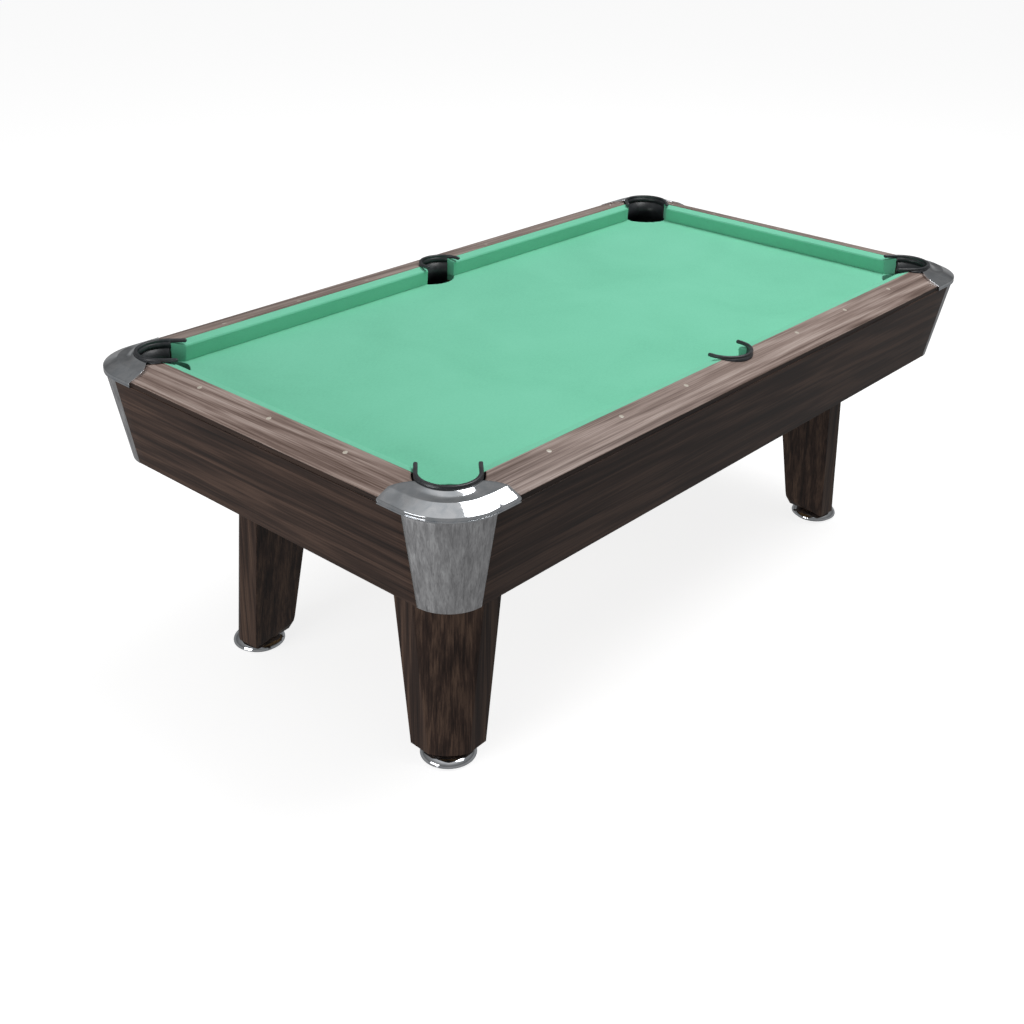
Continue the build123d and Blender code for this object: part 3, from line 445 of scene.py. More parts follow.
def mill_metal(name):
    """Sheet metal with long upright streaks, cloudy bloom and polished folded edges."""
    made = finish(name, Metallic=1.0)
    streaks = noise(made, stretched(made, (95, 95, 6)), 1.0, 5.0, 0.6, 0.5)
    flecks = noise(made, stretched(made, (380, 380, 30)), 1.0, 3.0, 0.6, 0.6)
    tone = weighed(made, 0.4, streaks, flecks)
    colour = ramp(made, tone, (0.33, paint(SHIELD_DARK)), (0.5, paint(SHIELD_GREY)),
                  (0.66, paint(SHIELD_LIGHT)))
    share = add(made, "SeparateXYZ", {"Vector": add(made, "TexCoord", {}).outputs["UV"]})
    centred = add(made, "Math", {0: share.outputs["X"], 1: 0.25}, operation="SUBTRACT")
    away = add(made, "Math", {0: centred}, operation="ABSOLUTE")
    fold = between(made, away, 0.0, 1.0, 0.236, 0.246)
    colour = tinted(made, fold, colour.outputs[0], paint((226, 227, 228)))
    rough = weighed(made, fold, between(made, tone, 0.34, 0.56), 0.12)
    return dress(made, colour, rough, tone, 0.00008)


mill = mill_metal("shield_metal")
for corner in CORNERS:
    shield = surface(f"shield_{corner}", [corner_shield(corner)])
    weight_normals(shield)
    fit_out(shield, mill, "table", "brushed", f"corner_shield_{corner}")

# ---------------------------------------------------------------- rails
# The wooden rails are wrapped in walnut foil with their grain along them. Their tops fall gently
# outwards with a slight crown, the long ones are notched for the side pockets, and their ends
# curve round the corner castings and pocket linings. Each one's upright outer face takes a darker
# copy of the foil, which is painted shade along the rail's outer edge.
RAIL_WIDTH, RAIL_TOP, RAIL_LOW, RAIL_SETBACK = 0.092, 0.800, 0.780, 0.0015
RAIL_CROWN = 0.0012
SIDE_RIM = 0.064
CORNER_RIM = 0.068
REBATE = 0.023
NOTCH_FROM = 0.048  # the rail's section is drawn in from here to make the notch
NOTCH_TURN = 64.27  # degrees of the side lining's circle that the notch follows, each way
PLAIN = 0.26  # station past which a rail's section no longer follows its curved end
FIT = 0.0005  # play between the wood and what it is fitted round
END_INSETS = (0.028, 0.040, 0.051, 0.060, 0.069)  # the castings' end curve: its insets
END_STATIONS = (0.190, 0.1845, 0.176, 0.1665, 0.156)  # and its stations at them
# Painted light: the rail foil's colours are a lighter, greyer copy of the same walnut as the
# aprons, standing in for top light and sheen.
LIT_RAIL_DARK, LIT_RAIL_BROWN, LIT_RAIL_PALE = (84, 66, 58), (134, 116, 108), (176, 160, 152)
# Painted shade: a darker copy of the walnut for the rail's upright outer face, standing in for the
# shadow along its outer edge.
RAIL_SHADE_DARK, RAIL_SHADE_BROWN, RAIL_SHADE_PALE = (26, 19, 17), (44, 33, 28), (70, 54, 46)


def rail_height(inset):
    """The rail's crowned top at an inset."""
    share = (inset - RAIL_SETBACK) / (RAIL_WIDTH - RAIL_SETBACK)
    return RAIL_LOW + (RAIL_TOP - RAIL_LOW) * share + RAIL_CROWN * 4 * share * (1 - share)


def rail_start(inset):
    """Station where the wood starts at an inset: the casting's curve, then the lining's side."""
    curve = np.interp(inset, END_INSETS, END_STATIONS)
    reach = CORNER_RIM + FIT
    lining = CORNER_CENTRE + np.sqrt(np.maximum(reach ** 2 - (CORNER_CENTRE - inset) ** 2, 0))
    straight = inset + 2 * reach * np.sin(np.pi / 4)
    past = CORNER_CENTRE - reach * np.sin(np.pi / 4)
    return np.where(inset < END_INSETS[-1], curve,
                    np.where(inset < past, lining, straight)) + FIT


def rail_outline():
    """The rail's section: base, rebate over the apron, outer edge, crowned top and inner face."""
    top = np.linspace(RAIL_SETBACK + 0.003, RAIL_WIDTH - 0.001, 15)
    turn = np.linspace(0, 1, 5)[:, None]
    outer = np.array([RAIL_SETBACK, RAIL_LOW - 0.0022])
    knee = np.array([RAIL_SETBACK, RAIL_LOW + 0.0002])
    over = np.array([RAIL_SETBACK + 0.003, rail_height(RAIL_SETBACK + 0.003)])
    arris = (1 - turn) ** 2 * outer + 2 * turn * (1 - turn) * knee + turn ** 2 * over
    inner = np.array([[RAIL_WIDTH - 0.0003, rail_height(RAIL_WIDTH) - 0.0003],
                      [RAIL_WIDTH, rail_height(RAIL_WIDTH) - 0.001]])
    face = np.array([[RAIL_WIDTH, z] for z in np.linspace(0.790, CLOTH_Z, 5)])
    base = np.array([[x, CLOTH_Z] for x in np.linspace(0.075, REBATE, 5)])
    foot = np.array([[REBATE, APRON_TOP], [0.012, APRON_TOP], [RAIL_SETBACK + 0.001, APRON_TOP],
                     [RAIL_SETBACK, APRON_TOP + 0.001]])
    outline = np.concatenate([arris, np.stack([top, rail_height(top)], -1)[1:], inner, face, base,
                              foot])
    return np.concatenate([outline, outline[:1]])


def rail(side, notched):
    """The section carried along a side; near each end its points run out to the curved end."""
    outline = rail_outline()
    half = HALF_X if notched else HALF_Y
    start = rail_start(outline[:, 0])[None]
    if notched:
        swing = np.radians(np.linspace(-NOTCH_TURN, NOTCH_TURN, 33))
        notch = (SIDE_RIM + FIT) * np.sin(swing)
        limit = np.minimum(RAIL_WIDTH, SIDE_CENTRE - (SIDE_RIM + FIT) * np.cos(swing))
        run_in = np.linspace(-half + PLAIN, notch[0], 25)[:-1]
        middle = np.concatenate([run_in, notch, -run_in[::-1]])
        limit = np.concatenate([np.full(24, RAIL_WIDTH), limit, np.full(24, RAIL_WIDTH)])
    else:
        middle = np.linspace(-half + PLAIN, half - PLAIN, 33)
        limit = np.full(33, RAIL_WIDTH)
    share = np.linspace(0, 1, 9)[:-1, None]
    left = -half + start + (PLAIN - start) * share
    run = np.concatenate([left, middle[:, None] + 0 * start, -left[::-1]])
    limit = np.concatenate([np.full(8, RAIL_WIDTH), limit, np.full(8, RAIL_WIDTH)])[:, None]
    inset = np.broadcast_to(outline[:, 0], run.shape)
    drawn = NOTCH_FROM + (inset - NOTCH_FROM) * (limit - NOTCH_FROM) / (RAIL_WIDTH - NOTCH_FROM)
    height = np.broadcast_to(outline[:, 1], run.shape)
    drop = np.where(height > 0.788, rail_height(inset) - rail_height(np.minimum(inset, drawn)), 0)
    return along_side(run, np.where(inset > NOTCH_FROM, drawn, inset),
                      height - np.where(inset > NOTCH_FROM, drop, 0), side)


for side in ("front", "back", "left", "right"):
    notched = side in ("front", "back")
    board = surface(f"rail_board_{side}", [closed_ends(rail(side, notched))])
    weight_normals(board)
    # The rail takes the lighter walnut copy, which is painted top light and sheen.
    foil = walnut(f"lit_rail_walnut_{side}", 0 if notched else 1, LIT_RAIL_DARK, LIT_RAIL_BROWN, LIT_RAIL_PALE,
                  7.0 + len(side) + (side == "left"))
    fit_out(board, foil, "table", "rail_wood", f"rail_{side}")
    # The upright outer face below the top gets the darker foil copy, which is painted shade.
    painted_shade_foil = walnut(f"rail_painted_shade_{side}", 0 if notched else 1, RAIL_SHADE_DARK, RAIL_SHADE_BROWN, RAIL_SHADE_PALE,
                       3.0 + len(side))
    board.data.materials.append(painted_shade_foil)
    centres = np.empty(3 * len(board.data.polygons))
    board.data.polygons.foreach_get("center", centres)
    centres = centres.reshape(-1, 3)
    inset = (HALF_Y - np.abs(centres[:, 1])) if notched else (HALF_X - np.abs(centres[:, 0]))
    in_painted_shade = (inset < RAIL_SETBACK + 0.0003) & (centres[:, 2] < RAIL_LOW - 0.001)
    board.data.polygons.foreach_set("material_index", in_painted_shade.astype(np.int32))

# ---------------------------------------------------------------- rail sights
# Eighteen small ivory plastic buttons are pressed into the rails, spaced by an eighth of the
# playing length along the table and a quarter of its width across.
SIGHT_RADIUS, SIGHT_INSET, SIGHT_STEP = 0.0055, 0.068, 0.23675


def ivory():
    """Ivory plastic with a pearly cloud."""
    made = finish("sight_ivory", Specular_IOR_Level=0.5, Coat_Weight=0.4, Coat_Roughness=0.1)
    cloud = noise(made, stretched(made, (1, 1, 1)), 260.0, 3.0, 0.6, 1.2)
    colour = ramp(made, cloud, (0.35, paint((168, 160, 148))), (0.65, paint((206, 198, 184))))
    return dress(made, colour.outputs[0], between(made, cloud, 0.22, 0.38), cloud, 0.00003)


def sight(run, side):
    """A shallow dome: its height falls with the square of the distance from its middle."""
    reach, angle = np.meshgrid(np.array([0.0, 0.35, 0.65, 0.88, 0.97, 1.0, 1.0]) * SIGHT_RADIUS,
                               np.linspace(0, 2 * np.pi, 33), indexing="ij")
    along, inset = run + reach * np.cos(angle), SIGHT_INSET + reach * np.sin(angle)
    dome = 0.0005 * (1 - (reach / SIGHT_RADIUS) ** 2)
    dome[-1] = -0.0012
    return along_side(along, inset, rail_height(inset) + dome + 0.00008, side)


sight_rows = [sight(k * SIGHT_STEP, side) for side in ("front", "back")
              for k in (-3, -2, -1, 1, 2, 3)]
sight_rows += [sight(k * SIGHT_STEP, side) for side in ("left", "right") for k in (-1, 0, 1)]
sights = surface("sight_buttons", sight_rows, facing=(0, 0, 1))
fit_out(sights, ivory(), "table", "sight", "rail_sights")

# ---------------------------------------------------------------- cushions
# Six rubber cushions on wooden backers are wrapped in the bed's cloth, pulled tight over the nose
# and folded under at their slanted ends, which flank the pockets.
CUSHION_BACK, CUSHION_NOSE = 0.0925, 0.118
CUSHION_BASE = 0.7523
CORNER_BACK, CORNER_NOSE = 0.177, 0.206  # stations where a cushion starts, at rail and nose
SIDE_BACK, SIDE_NOSE = 0.0485, 0.0525


def cushion(side, near, far):
    """The wedge-nosed section carried along its rail between two slanted ends.

    near and far each give the run at the back and at the nose. At an end the section is drawn in
    round a small radius and shut with two folds of cloth.
    """
    outline = rounded([(CUSHION_BACK, CUSHION_BASE), (CUSHION_BACK, 0.7995), (0.1162, 0.7935),
                       (0.118, 0.7895), (0.1172, 0.7845), (0.114, CUSHION_BASE)],
                      [0.001, 0.0014, 0.0016, 0.0012, 0.004, 0.0012], 5)
    width = (outline[:, 0] - CUSHION_BACK) / (CUSHION_NOSE - CUSHION_BACK)
    first = near[0] + (near[1] - near[0]) * width
    last = far[0] + (far[1] - far[0]) * width
    share = np.linspace(0, 1, 61)[:, None]
    run = first + (last - first) * share
    lift = (outline[:, 1] - CUSHION_BASE) / 0.047
    sway = 0.00022 * np.sin(run * 23.0) + 0.00018 * np.sin(run * 61.0 + 1.3)
    inset = outline[:, 0] + sway * width * lift
    height = outline[:, 1] + 0.5 * sway * lift * width
    middle = np.array([outline[:-1, 0].mean(), outline[:-1, 1].mean()])
    ends = []
    for row, sign in ((0, -1), (-1, 1)):
        turn = np.array([0.35, 0.7, 1.0, 1.0, 1.0, 1.0])[:, None] * np.pi / 2
        shrink = np.array([0.985, 0.955, 0.90, 0.6, 0.3, 0.0])[:, None]
        swing = np.arctan2(outline[:, 1] - middle[1], outline[:, 0] - middle[0])
        pleat = 0.0007 * (np.exp(-((swing - 0.9) / 0.10) ** 2) + np.exp(-((swing + 0.5) / 0.12)
                                                                        ** 2))
        pleat = pleat * np.array([0, 0.4, 1, 0.8, 0.4, 0])[:, None]
        end_inset = middle[0] + (inset[row] - middle[0]) * shrink
        end_height = middle[1] + (height[row] - middle[1]) * shrink
        slant = (near if row == 0 else far)
        end_run = slant[0] + (slant[1] - slant[0]) * (end_inset - CUSHION_BACK) / (
            CUSHION_NOSE - CUSHION_BACK) + sign * (0.0014 * np.sin(turn) - 0.0014 + pleat)
        ends.append((end_run, end_inset, end_height))
    run[0] += 0.0014
    run[-1] -= 0.0014
    start, finish_end = ends
    run = np.concatenate([start[0][::-1], run, finish_end[0]])
    inset = np.concatenate([start[1][::-1], inset, finish_end[1]])
    height = np.concatenate([start[2][::-1], height, finish_end[2]])
    return along_side(run, inset, height, side)


def rubber(name, card, pale):
    """Matt moulded rubber with a dusty bloom."""
    made = finish(name, Specular_IOR_Level=0.3)
    bloom = noise(made, stretched(made, (1, 1, 1)), 55.0, 5.0, 0.65)
    colour = ramp(made, bloom, (0.35, paint(card)), (0.75, paint(pale)))
    return dress(made, colour.outputs[0], between(made, bloom, 0.62, 0.85), bloom, 0.0002)


coat("cushion_rubbers", rubber("nose_rubber", (96, 68, 48), (128, 98, 74)))
cushion_green = green_cloth("cushion_green", CLOTH_DEEP, CLOTH_GREEN, CLOTH_WORN, (1, 1, 1))
for side in ("front", "back"):
    for hand, sign in (("left", -1), ("right", 1)):
        corner_end = (sign * (HALF_X - CORNER_BACK), sign * (HALF_X - CORNER_NOSE))
        pocket_end = (sign * SIDE_BACK, sign * SIDE_NOSE)
        ends = (corner_end, pocket_end) if sign < 0 else (pocket_end, corner_end)
        padded = surface(f"cushion_cloth_{side}_{hand}", [cushion(side, *ends)])
        fit_out(padded, cushion_green, "table", "cushion_cloth", f"cushion_{side}_{hand}")
for side in ("left", "right"):
    ends = [(s * (HALF_Y - CORNER_BACK), s * (HALF_Y - CORNER_NOSE)) for s in (-1, 1)]
    padded = surface(f"cushion_cloth_{side}", [cushion(side, *ends)])
    fit_out(padded, cushion_green, "table", "cushion_cloth", f"cushion_{side}")

# ---------------------------------------------------------------- corner castings
# A chromed zinc casting caps each corner: a grooved lip, a wide bevel up to a ridge, and a plate
# that rises gently to the pocket, whose lining it holds. Its ends curve over the rails.
COVE_START = 0.046  # inset from which the plate sweeps up to the lining
COVE_END, COVE_LOW, COVE_RISE = 0.0628, 0.7938, 0.0066
WRAP = 65.9  # degrees that the plate follows the lining, either side of its back
CHROME_DARK, CHROME_LIGHT = (212, 217, 222), (234, 236, 239)


def casting_line(inset, count):
    """Plan points along the corner at an inset: from one end, round the arc, to the other."""
    reach = np.interp(inset, END_INSETS, END_STATIONS)
    bend = CORNER_RADIUS - inset
    angle = np.linspace(0, np.pi / 2, count)
    arc = np.stack([CORNER_RADIUS - bend * np.cos(angle), CORNER_RADIUS - bend * np.sin(angle)],
                   -1)
    leg = np.linspace(reach, CORNER_RADIUS, 9)[:-1]
    first = np.stack([np.full(8, inset), leg], -1)
    return np.concatenate([first, arc, first[::-1, ::-1]])


def lining_line(radius, count, spread):
    """Plan points round the pocket's back, between two directions either side of the corner."""
    angle = np.radians(225) + np.linspace(-spread, spread, count)
    return CORNER_CENTRE + radius * np.stack([np.cos(angle), np.sin(angle)], -1)


def corner_casting(corner):
    """Corner lines at set insets and heights, lofted from under the lip to inside the pocket.

    Each row is one line; between ridge and pocket the rows pass from the corner's shape to the
    lining's circle, and in the middle their height sags and then sweeps up as a square. The first
    and last points of every row drop down to shut the two ends.
    """
    rise = [(-0.0005, APRON_TOP + 0.0002), (-0.0035, APRON_TOP + 0.0002), (-0.004, 0.7678),
            (-0.004, 0.7702), (-0.0036, 0.7706), (-0.0018, 0.7708), (-0.0018, 0.7722),
            (-0.0036, 0.7724), (-0.004, 0.7728), (-0.004, 0.7778), (-0.0034, 0.7789),
            (-0.0018, 0.77995), (0.006, 0.78337), (0.0155, 0.78754), (0.0262, 0.79222),
            (0.0272, 0.79268), (0.0292, 0.79327), (0.0304, 0.79354), (0.036, 0.79478),
            (0.042, 0.79611), (0.046, 0.797), (0.050, 0.79789), (0.053, 0.79856),
            (0.056, 0.79922), (0.0585, 0.79978), (0.061, 0.80033), (COVE_END, 0.80073)]
    rows = [np.concatenate([casting_line(i, 41), np.full((57, 1), z)], 1) for i, z in rise]
    bow = np.sin(np.linspace(0, np.pi, 57)) ** 2
    for row, (inset, height) in zip(rows, rise):
        if inset > COVE_START / 2 and height > 0.793:
            swept = max(0, (inset - COVE_START) / (COVE_END - COVE_START))
            hollow = COVE_LOW + COVE_RISE * swept ** 2
            row[:, 2] += (hollow - height) * bow
    circle = lining_line(CORNER_RIM + FIT, 57, np.radians(WRAP))
    last = rows[-1]
    rows.append(np.concatenate([last[:, :2] * 0.25 + circle * 0.75, np.full((57, 1), 0.8009)], 1))
    rows.append(np.concatenate([circle, np.full((57, 1), 0.8010)], 1))
    rows.append(np.concatenate([circle, np.full((57, 1), 0.7990)], 1))
    rows.append(np.concatenate([circle, np.full((57, 1), APRON_TOP)], 1))
    rows = np.array(rows)
    for at in (0, -1):
        foot = rows[:, at:at + 1 if at == 0 else None].copy()
        edge = foot.copy()
        edge[..., 2] -= 0.0006
        foot[..., 2] = APRON_TOP
        parts = [foot, edge, rows] if at == 0 else [rows, edge, foot]
        rows = np.concatenate(parts, 1)
    rows = rows + np.array([-HALF_X, -HALF_Y, 0])
    return mirrored(rows, corner)


def chrome(name, ripple):
    """Chrome plate over a cast face: faint waviness, haze and finger marks."""
    made = finish(name, Metallic=1.0)
    haze = noise(made, stretched(made, (1, 1, 1)), 38.0, 5.0, 0.6, 0.6)
    wave = noise(made, stretched(made, (1, 1, 1)), 24.0, 1.0, 0.4)
    colour = ramp(made, haze, (0.35, paint(CHROME_DARK)), (0.65, paint(CHROME_LIGHT)))
    return dress(made, colour.outputs[0], between(made, haze, 0.03, 0.11, 0.35, 0.8), wave, ripple)


casting_chrome = chrome("casting_chrome", 0.0012)
for corner in CORNERS:
    casting = surface(f"casting_{corner}", [corner_casting(corner)], facing=(0, 0, 1))
    weight_normals(casting)
    fit_out(casting, casting_chrome, "table", "chrome", f"corner_casting_{corner}")

# ---------------------------------------------------------------- pocket linings
# Each pocket has a black moulded lining: a smooth back wall down to the bed hole and a thick
# rounded rim on top, whose two arms run out over the cushion ends.
RIM_TOP, RIM_HEIGHT, RIM_FOOT = 0.8085, 0.008, 0.786
CORNER_BORE, CORNER_ARM = 0.059, 0.038
SIDE_BORE, SIDE_ARM = 0.056, 0.006
WALL_THICK, LAP = 0.004, 0.002
BOARD_LOW = 0.731
PLASTIC_BLACK, PLASTIC_GREY = (40, 42, 45), (70, 72, 76)


def pocket_path(radius, arm, count):
    """Plan points of a U about its centre, opening along +X: one arm, the half circle, the other.

    Returns the points and the outward direction at each.
    """
    angle = np.linspace(np.pi / 2, 3 * np.pi / 2, count)
    out = np.stack([np.cos(angle), np.sin(angle)], -1)
    arms = np.linspace(arm, 0, 9)[:-1]
    upper = np.stack([arms, np.full(8, radius)], -1)
    lower = upper[::-1] * [1, -1]
    points = np.concatenate([upper, out * radius, lower])
    outward = np.concatenate([np.tile([0.0, 1.0], (8, 1)), out, np.tile([0.0, -1.0], (8, 1))])
    return points, outward


def rim_grid(bore, rim, arm):
    """The rim's rounded section carried round the U, with its arms' tips drawn to a round end."""
    middle, half = (bore + rim) / 2, (rim - bore) / 2
    points, outward = pocket_path(middle, arm, 49)
    section = rounded([(-half, RIM_TOP), (half, RIM_TOP), (half, RIM_TOP - RIM_HEIGHT),
                       (-half, RIM_TOP - RIM_HEIGHT)], [0.0030, 0.0030, 0.0010, 0.0010], 5)
    rows = [np.concatenate([points[k] + outward[k] * section[:, :1], section[:, 1:]], 1)
            for k in range(len(points))]
    rows = np.array(rows)
    tip = np.sin(np.linspace(0, np.pi / 2, 7))[1:]
    draw = np.sqrt(np.maximum(1 - tip ** 2, 0))
    low = RIM_TOP - RIM_HEIGHT / 2
    ends = []
    for row, side in ((0, 1), (-1, -1)):
        end = rows[row]
        core = np.array([end[0, 0], side * middle, low])
        grown = core + (end - core) * draw[:, None, None]
        grown[..., 0] += (half * tip)[:, None]
        ends.append(grown)
    return np.concatenate([ends[0][::-1], rows, ends[1]])


def wall_grid(bore, wall, arm, top, low, keep):
    """The wall below the rim: a thin upright band round the part of the U that the rail backs."""
    points, outward = pocket_path(bore, arm, 97)
    kept = keep(points + outward * wall)
    points, outward = points[kept], outward[kept]
    grid = []
    for depth, height in ((0, top), (0, low), (wall, low), (wall, top), (0, top)):
        ring = points + outward * depth
        grid.append(np.concatenate([ring, np.full((len(ring), 1), height)], 1))
    grid = np.array(grid).transpose(1, 0, 2)
    first, last = grid[:1].mean(1, keepdims=True), grid[-1:].mean(1, keepdims=True)
    return np.concatenate([first + 0 * grid[:1], grid, last + 0 * grid[-1:]])


def set_in(grid, centre, heading):
    """Turns a lining to its heading and moves it to the pocket's centre."""
    turn = np.array([[np.cos(heading), np.sin(heading)], [-np.sin(heading), np.cos(heading)]])
    plan = grid[..., :2] @ turn + np.array(centre)
    return np.concatenate([plan, grid[..., 2:]], -1)


def moulded(name, card, pale, low=0.30, high=0.48):
    """Moulded plastic with a fine leather grain and lighter scuffs."""
    made = finish(name, Specular_IOR_Level=0.5)
    grain = noise(made, stretched(made, (1, 1, 1)), 620.0, 3.0, 0.6)
    scuffs = noise(made, stretched(made, (1, 1, 1)), 24.0, 6.0, 0.7, 0.5)
    colour = ramp(made, scuffs, (0.45, paint(card)), (0.80, paint(pale)))
    return dress(made, colour.outputs[0], between(made, scuffs, low, high), grain, 0.00005)


def kept_by_rail(centre, heading):
    """Which points of a lining lie under a rail, outside the cushions' line."""
    def keep(points):
        padded_points = np.concatenate([points, np.zeros((len(points), 1))], 1)
        plan = set_in(padded_points, centre, heading)
        inset = np.minimum(HALF_X - np.abs(plan[:, 0]), HALF_Y - np.abs(plan[:, 1]))
        return inset < 0.0915
    return keep


black = moulded("pocket_black", PLASTIC_BLACK, PLASTIC_GREY)
pockets = {corner: ((-sx * (HALF_X - CORNER_CENTRE), -sy * (HALF_Y - CORNER_CENTRE)),
                    np.arctan2(sy, sx), CORNER_BORE, CORNER_RIM, CORNER_ARM)
           for corner, (sx, sy) in CORNERS.items()}
pockets["front"] = ((0.0, SIDE_CENTRE - HALF_Y), np.pi / 2, SIDE_BORE, SIDE_RIM, SIDE_ARM)
pockets["back"] = ((0.0, HALF_Y - SIDE_CENTRE), -np.pi / 2, SIDE_BORE, SIDE_RIM, SIDE_ARM)
for name, (centre, heading, bore, rim, arm) in pockets.items():
    keep = kept_by_rail(centre, heading)
    wall = wall_grid(bore, WALL_THICK, arm, RIM_FOOT + LAP, BOARD_LOW, keep)
    skirt = wall_grid(bore, rim - bore, arm, RIM_TOP - RIM_HEIGHT + LAP, RIM_FOOT, keep)
    grids = [set_in(g, centre, heading) for g in (rim_grid(bore, rim, arm), wall, skirt)]
    lining = surface(f"lining_{name}", grids)
    fit_out(lining, black, "table", "pocket", f"pocket_liner_{name}")

# ---------------------------------------------------------------- ball buckets
# A plastic bucket under each pocket catches the balls; its flange is screwed up to the board.
coat("pocket_buckets", moulded("bucket_black", (17, 17, 18), (38, 38, 40), 0.42, 0.6))


def plated(name, dark, light, rough):
    """Zinc-plated steel: a spangled, slightly clouded metal."""
    made = finish(name, Metallic=1.0)
    cloud = noise(made, stretched(made, (1, 1, 1)), 160.0, 5.0, 0.65)
    colour = ramp(made, cloud, (0.35, paint(dark)), (0.65, paint(light)))
    return dress(made, colour.outputs[0], between(made, cloud, rough, rough + 0.18), cloud, 0.00006)


zinc = plated("zinc_plate", (138, 138, 132), (198, 197, 186), 0.28)
for node in ("bucket_screws", "rail_bolts", "leg_bolts", "leg_inserts"):
    coat(node, zinc)

# ---------------------------------------------------------------- legs
# Each leg is a tapering box of foil-faced board, its outer corner cut by a broad, slightly swelling
# face. Only its two outer faces stand plumb, and its inmost foot corner is cut off.
LEG_FOOT, LEG_TOP, LEG_INSET = 0.032, 0.665, 0.186
LEG_SIZE_FOOT, LEG_SIZE_TOP, LEG_SIDE, LEG_BULGE = 0.126, 0.200, 0.060, 0.009
LEG_DARK, LEG_BROWN, LEG_PALE = (30, 21, 18), (62, 46, 39), (104, 82, 68)


def leg_ring(size):
    """The leg's plan at one size: a square whose outer corner is an arc, its corners rounded."""
    far, turn = LEG_INSET + size, LEG_INSET + size - LEG_SIDE
    chord = (turn - LEG_INSET) * np.sqrt(2)
    radius = (chord ** 2 / 4 + LEG_BULGE ** 2) / (2 * LEG_BULGE)
    spread = np.arcsin(chord / 2 / radius)
    angle = np.radians(225) + np.linspace(-spread, spread, 21) * 0.985
    middle = (LEG_INSET + turn) / 2 - LEG_BULGE / np.sqrt(2) + radius / np.sqrt(2)
    arc = middle + radius * np.stack([np.cos(angle), np.sin(angle)], -1)
    box = rounded([(far, LEG_INSET), (far, far), (LEG_INSET, far)], [0.0018] * 3, 4)[:-1]
    ring = np.concatenate([arc[:1] * 0 + [LEG_INSET, turn + 0.0015], arc,
                           [[turn + 0.0015, LEG_INSET]], box])
    return np.concatenate([ring, ring[:1]])


def leg_shell(corner):
    """The ring carried up from the foot as its size grows; the cut corner lifts its lowest row."""
    share = np.concatenate([[0.0, 0.0025], np.linspace(0.03, 1, 30)])
    rings = np.array([leg_ring(LEG_SIZE_FOOT + (LEG_SIZE_TOP - LEG_SIZE_FOOT) * s) for s in share])
    height = LEG_FOOT + (LEG_TOP - LEG_FOOT) * share[:, None] + 0 * rings[..., 0]
    middle = rings[0, :-1].mean(0)
    inner = middle + (rings[0] - middle) * np.array([0.0, 0.35, 0.7, 0.90, 0.988])[:, None, None]
    plan = np.concatenate([inner, rings])
    height = np.concatenate([np.full((5, rings.shape[1]), LEG_FOOT), height])
    past = (plan[..., 0] - (LEG_INSET + LEG_SIZE_FOOT - 0.020)
            + plan[..., 1] - (LEG_INSET + LEG_SIZE_FOOT))
    cut = LEG_FOOT + past / 0.85
    taken = height < cut
    height = np.where(taken, np.minimum(cut, LEG_FOOT + 0.06), height)
    top_middle = rings[-1, :-1].mean(0)
    lid = top_middle + (rings[-1] - top_middle) * np.array([0.6, 0.0])[:, None, None]
    plan = np.concatenate([plan, lid])
    height = np.concatenate([height, np.full((2, rings.shape[1]), LEG_TOP)])
    rows = np.concatenate([plan - [HALF_X, HALF_Y], height[..., None]], -1)
    return mirrored(rows, corner)


for corner in CORNERS:
    leg = surface(f"leg_box_{corner}", [leg_shell(corner)])
    weight_normals(leg)
    foil = walnut(f"leg_walnut_{corner}", 2, LEG_DARK, LEG_BROWN, LEG_PALE, 20.0 + len(corner))
    fit_out(leg, foil, "table", "leg_wood", f"leg_{corner}")


def painted_steel(name):
    """Black stoved enamel on steel plate, with an orange-peel surface."""
    made = finish(name, Specular_IOR_Level=0.5)
    peel = noise(made, stretched(made, (1, 1, 1)), 340.0, 2.0, 0.5)
    chip = noise(made, stretched(made, (1, 1, 1)), 60.0, 6.0, 0.75)
    colour = ramp(made, chip, (0.55, paint((24, 24, 26))), (0.85, paint((58, 56, 54))))
    return dress(made, colour.outputs[0], between(made, chip, 0.35, 0.6), peel, 0.0001)


coat("leg_flanges", painted_steel("flange_enamel"))

# ---------------------------------------------------------------- levelling feet
# A chromed disc under each leg turns on a rubber pad and winds a threaded stud in or out of the
# leg's insert, which raises or lowers that corner.
DISC_RADIUS, DISC_TOP, STUD_RADIUS, PITCH = 0.066, 0.0297, 0.005, 0.0015
FOOT_INSET = 0.249


def turned_shape(profile, count):
    """A profile of radius and height spun round the upright axis."""
    angle = np.linspace(0, 2 * np.pi, count + 1)[None]
    radius, height = (np.array(profile)[:, k][:, None] for k in (0, 1))
    return np.stack([radius * np.cos(angle), radius * np.sin(angle), height + 0 * angle], -1)


def disc_profile():
    """The disc's section: a hollow under the rim, a rounded edge, a swelling dome and its crown."""
    rise = np.linspace(0, np.pi / 2, 19)
    dome_radius = 0.022 + (DISC_RADIUS - 0.0004 - 0.022) * np.cos(rise)
    dome_height = 0.0102 + (DISC_TOP - 0.0006 - 0.0102) * np.sin(rise) ** 1.15
    dome = np.stack([dome_radius, dome_height], -1)
    under = np.array([[0.00906, 0.0103], [0.00906, 0.0062], [0.02, 0.0061], [0.055, 0.0061],
                      [0.0642, 0.0061], [0.0652, 0.0063], [0.0658, 0.0069], [0.066, 0.0078],
                      [0.066, 0.0092], [0.0659, 0.0098]])
    crown = np.array([[0.020, DISC_TOP - 0.0003], [0.0165, DISC_TOP - 0.0001],
                      [0.0052, DISC_TOP - 0.0001], [0.005, DISC_TOP - 0.0004], [0.005, 0.0103],
                      [0.00906, 0.0103]])
    return np.concatenate([under, dome, crown])


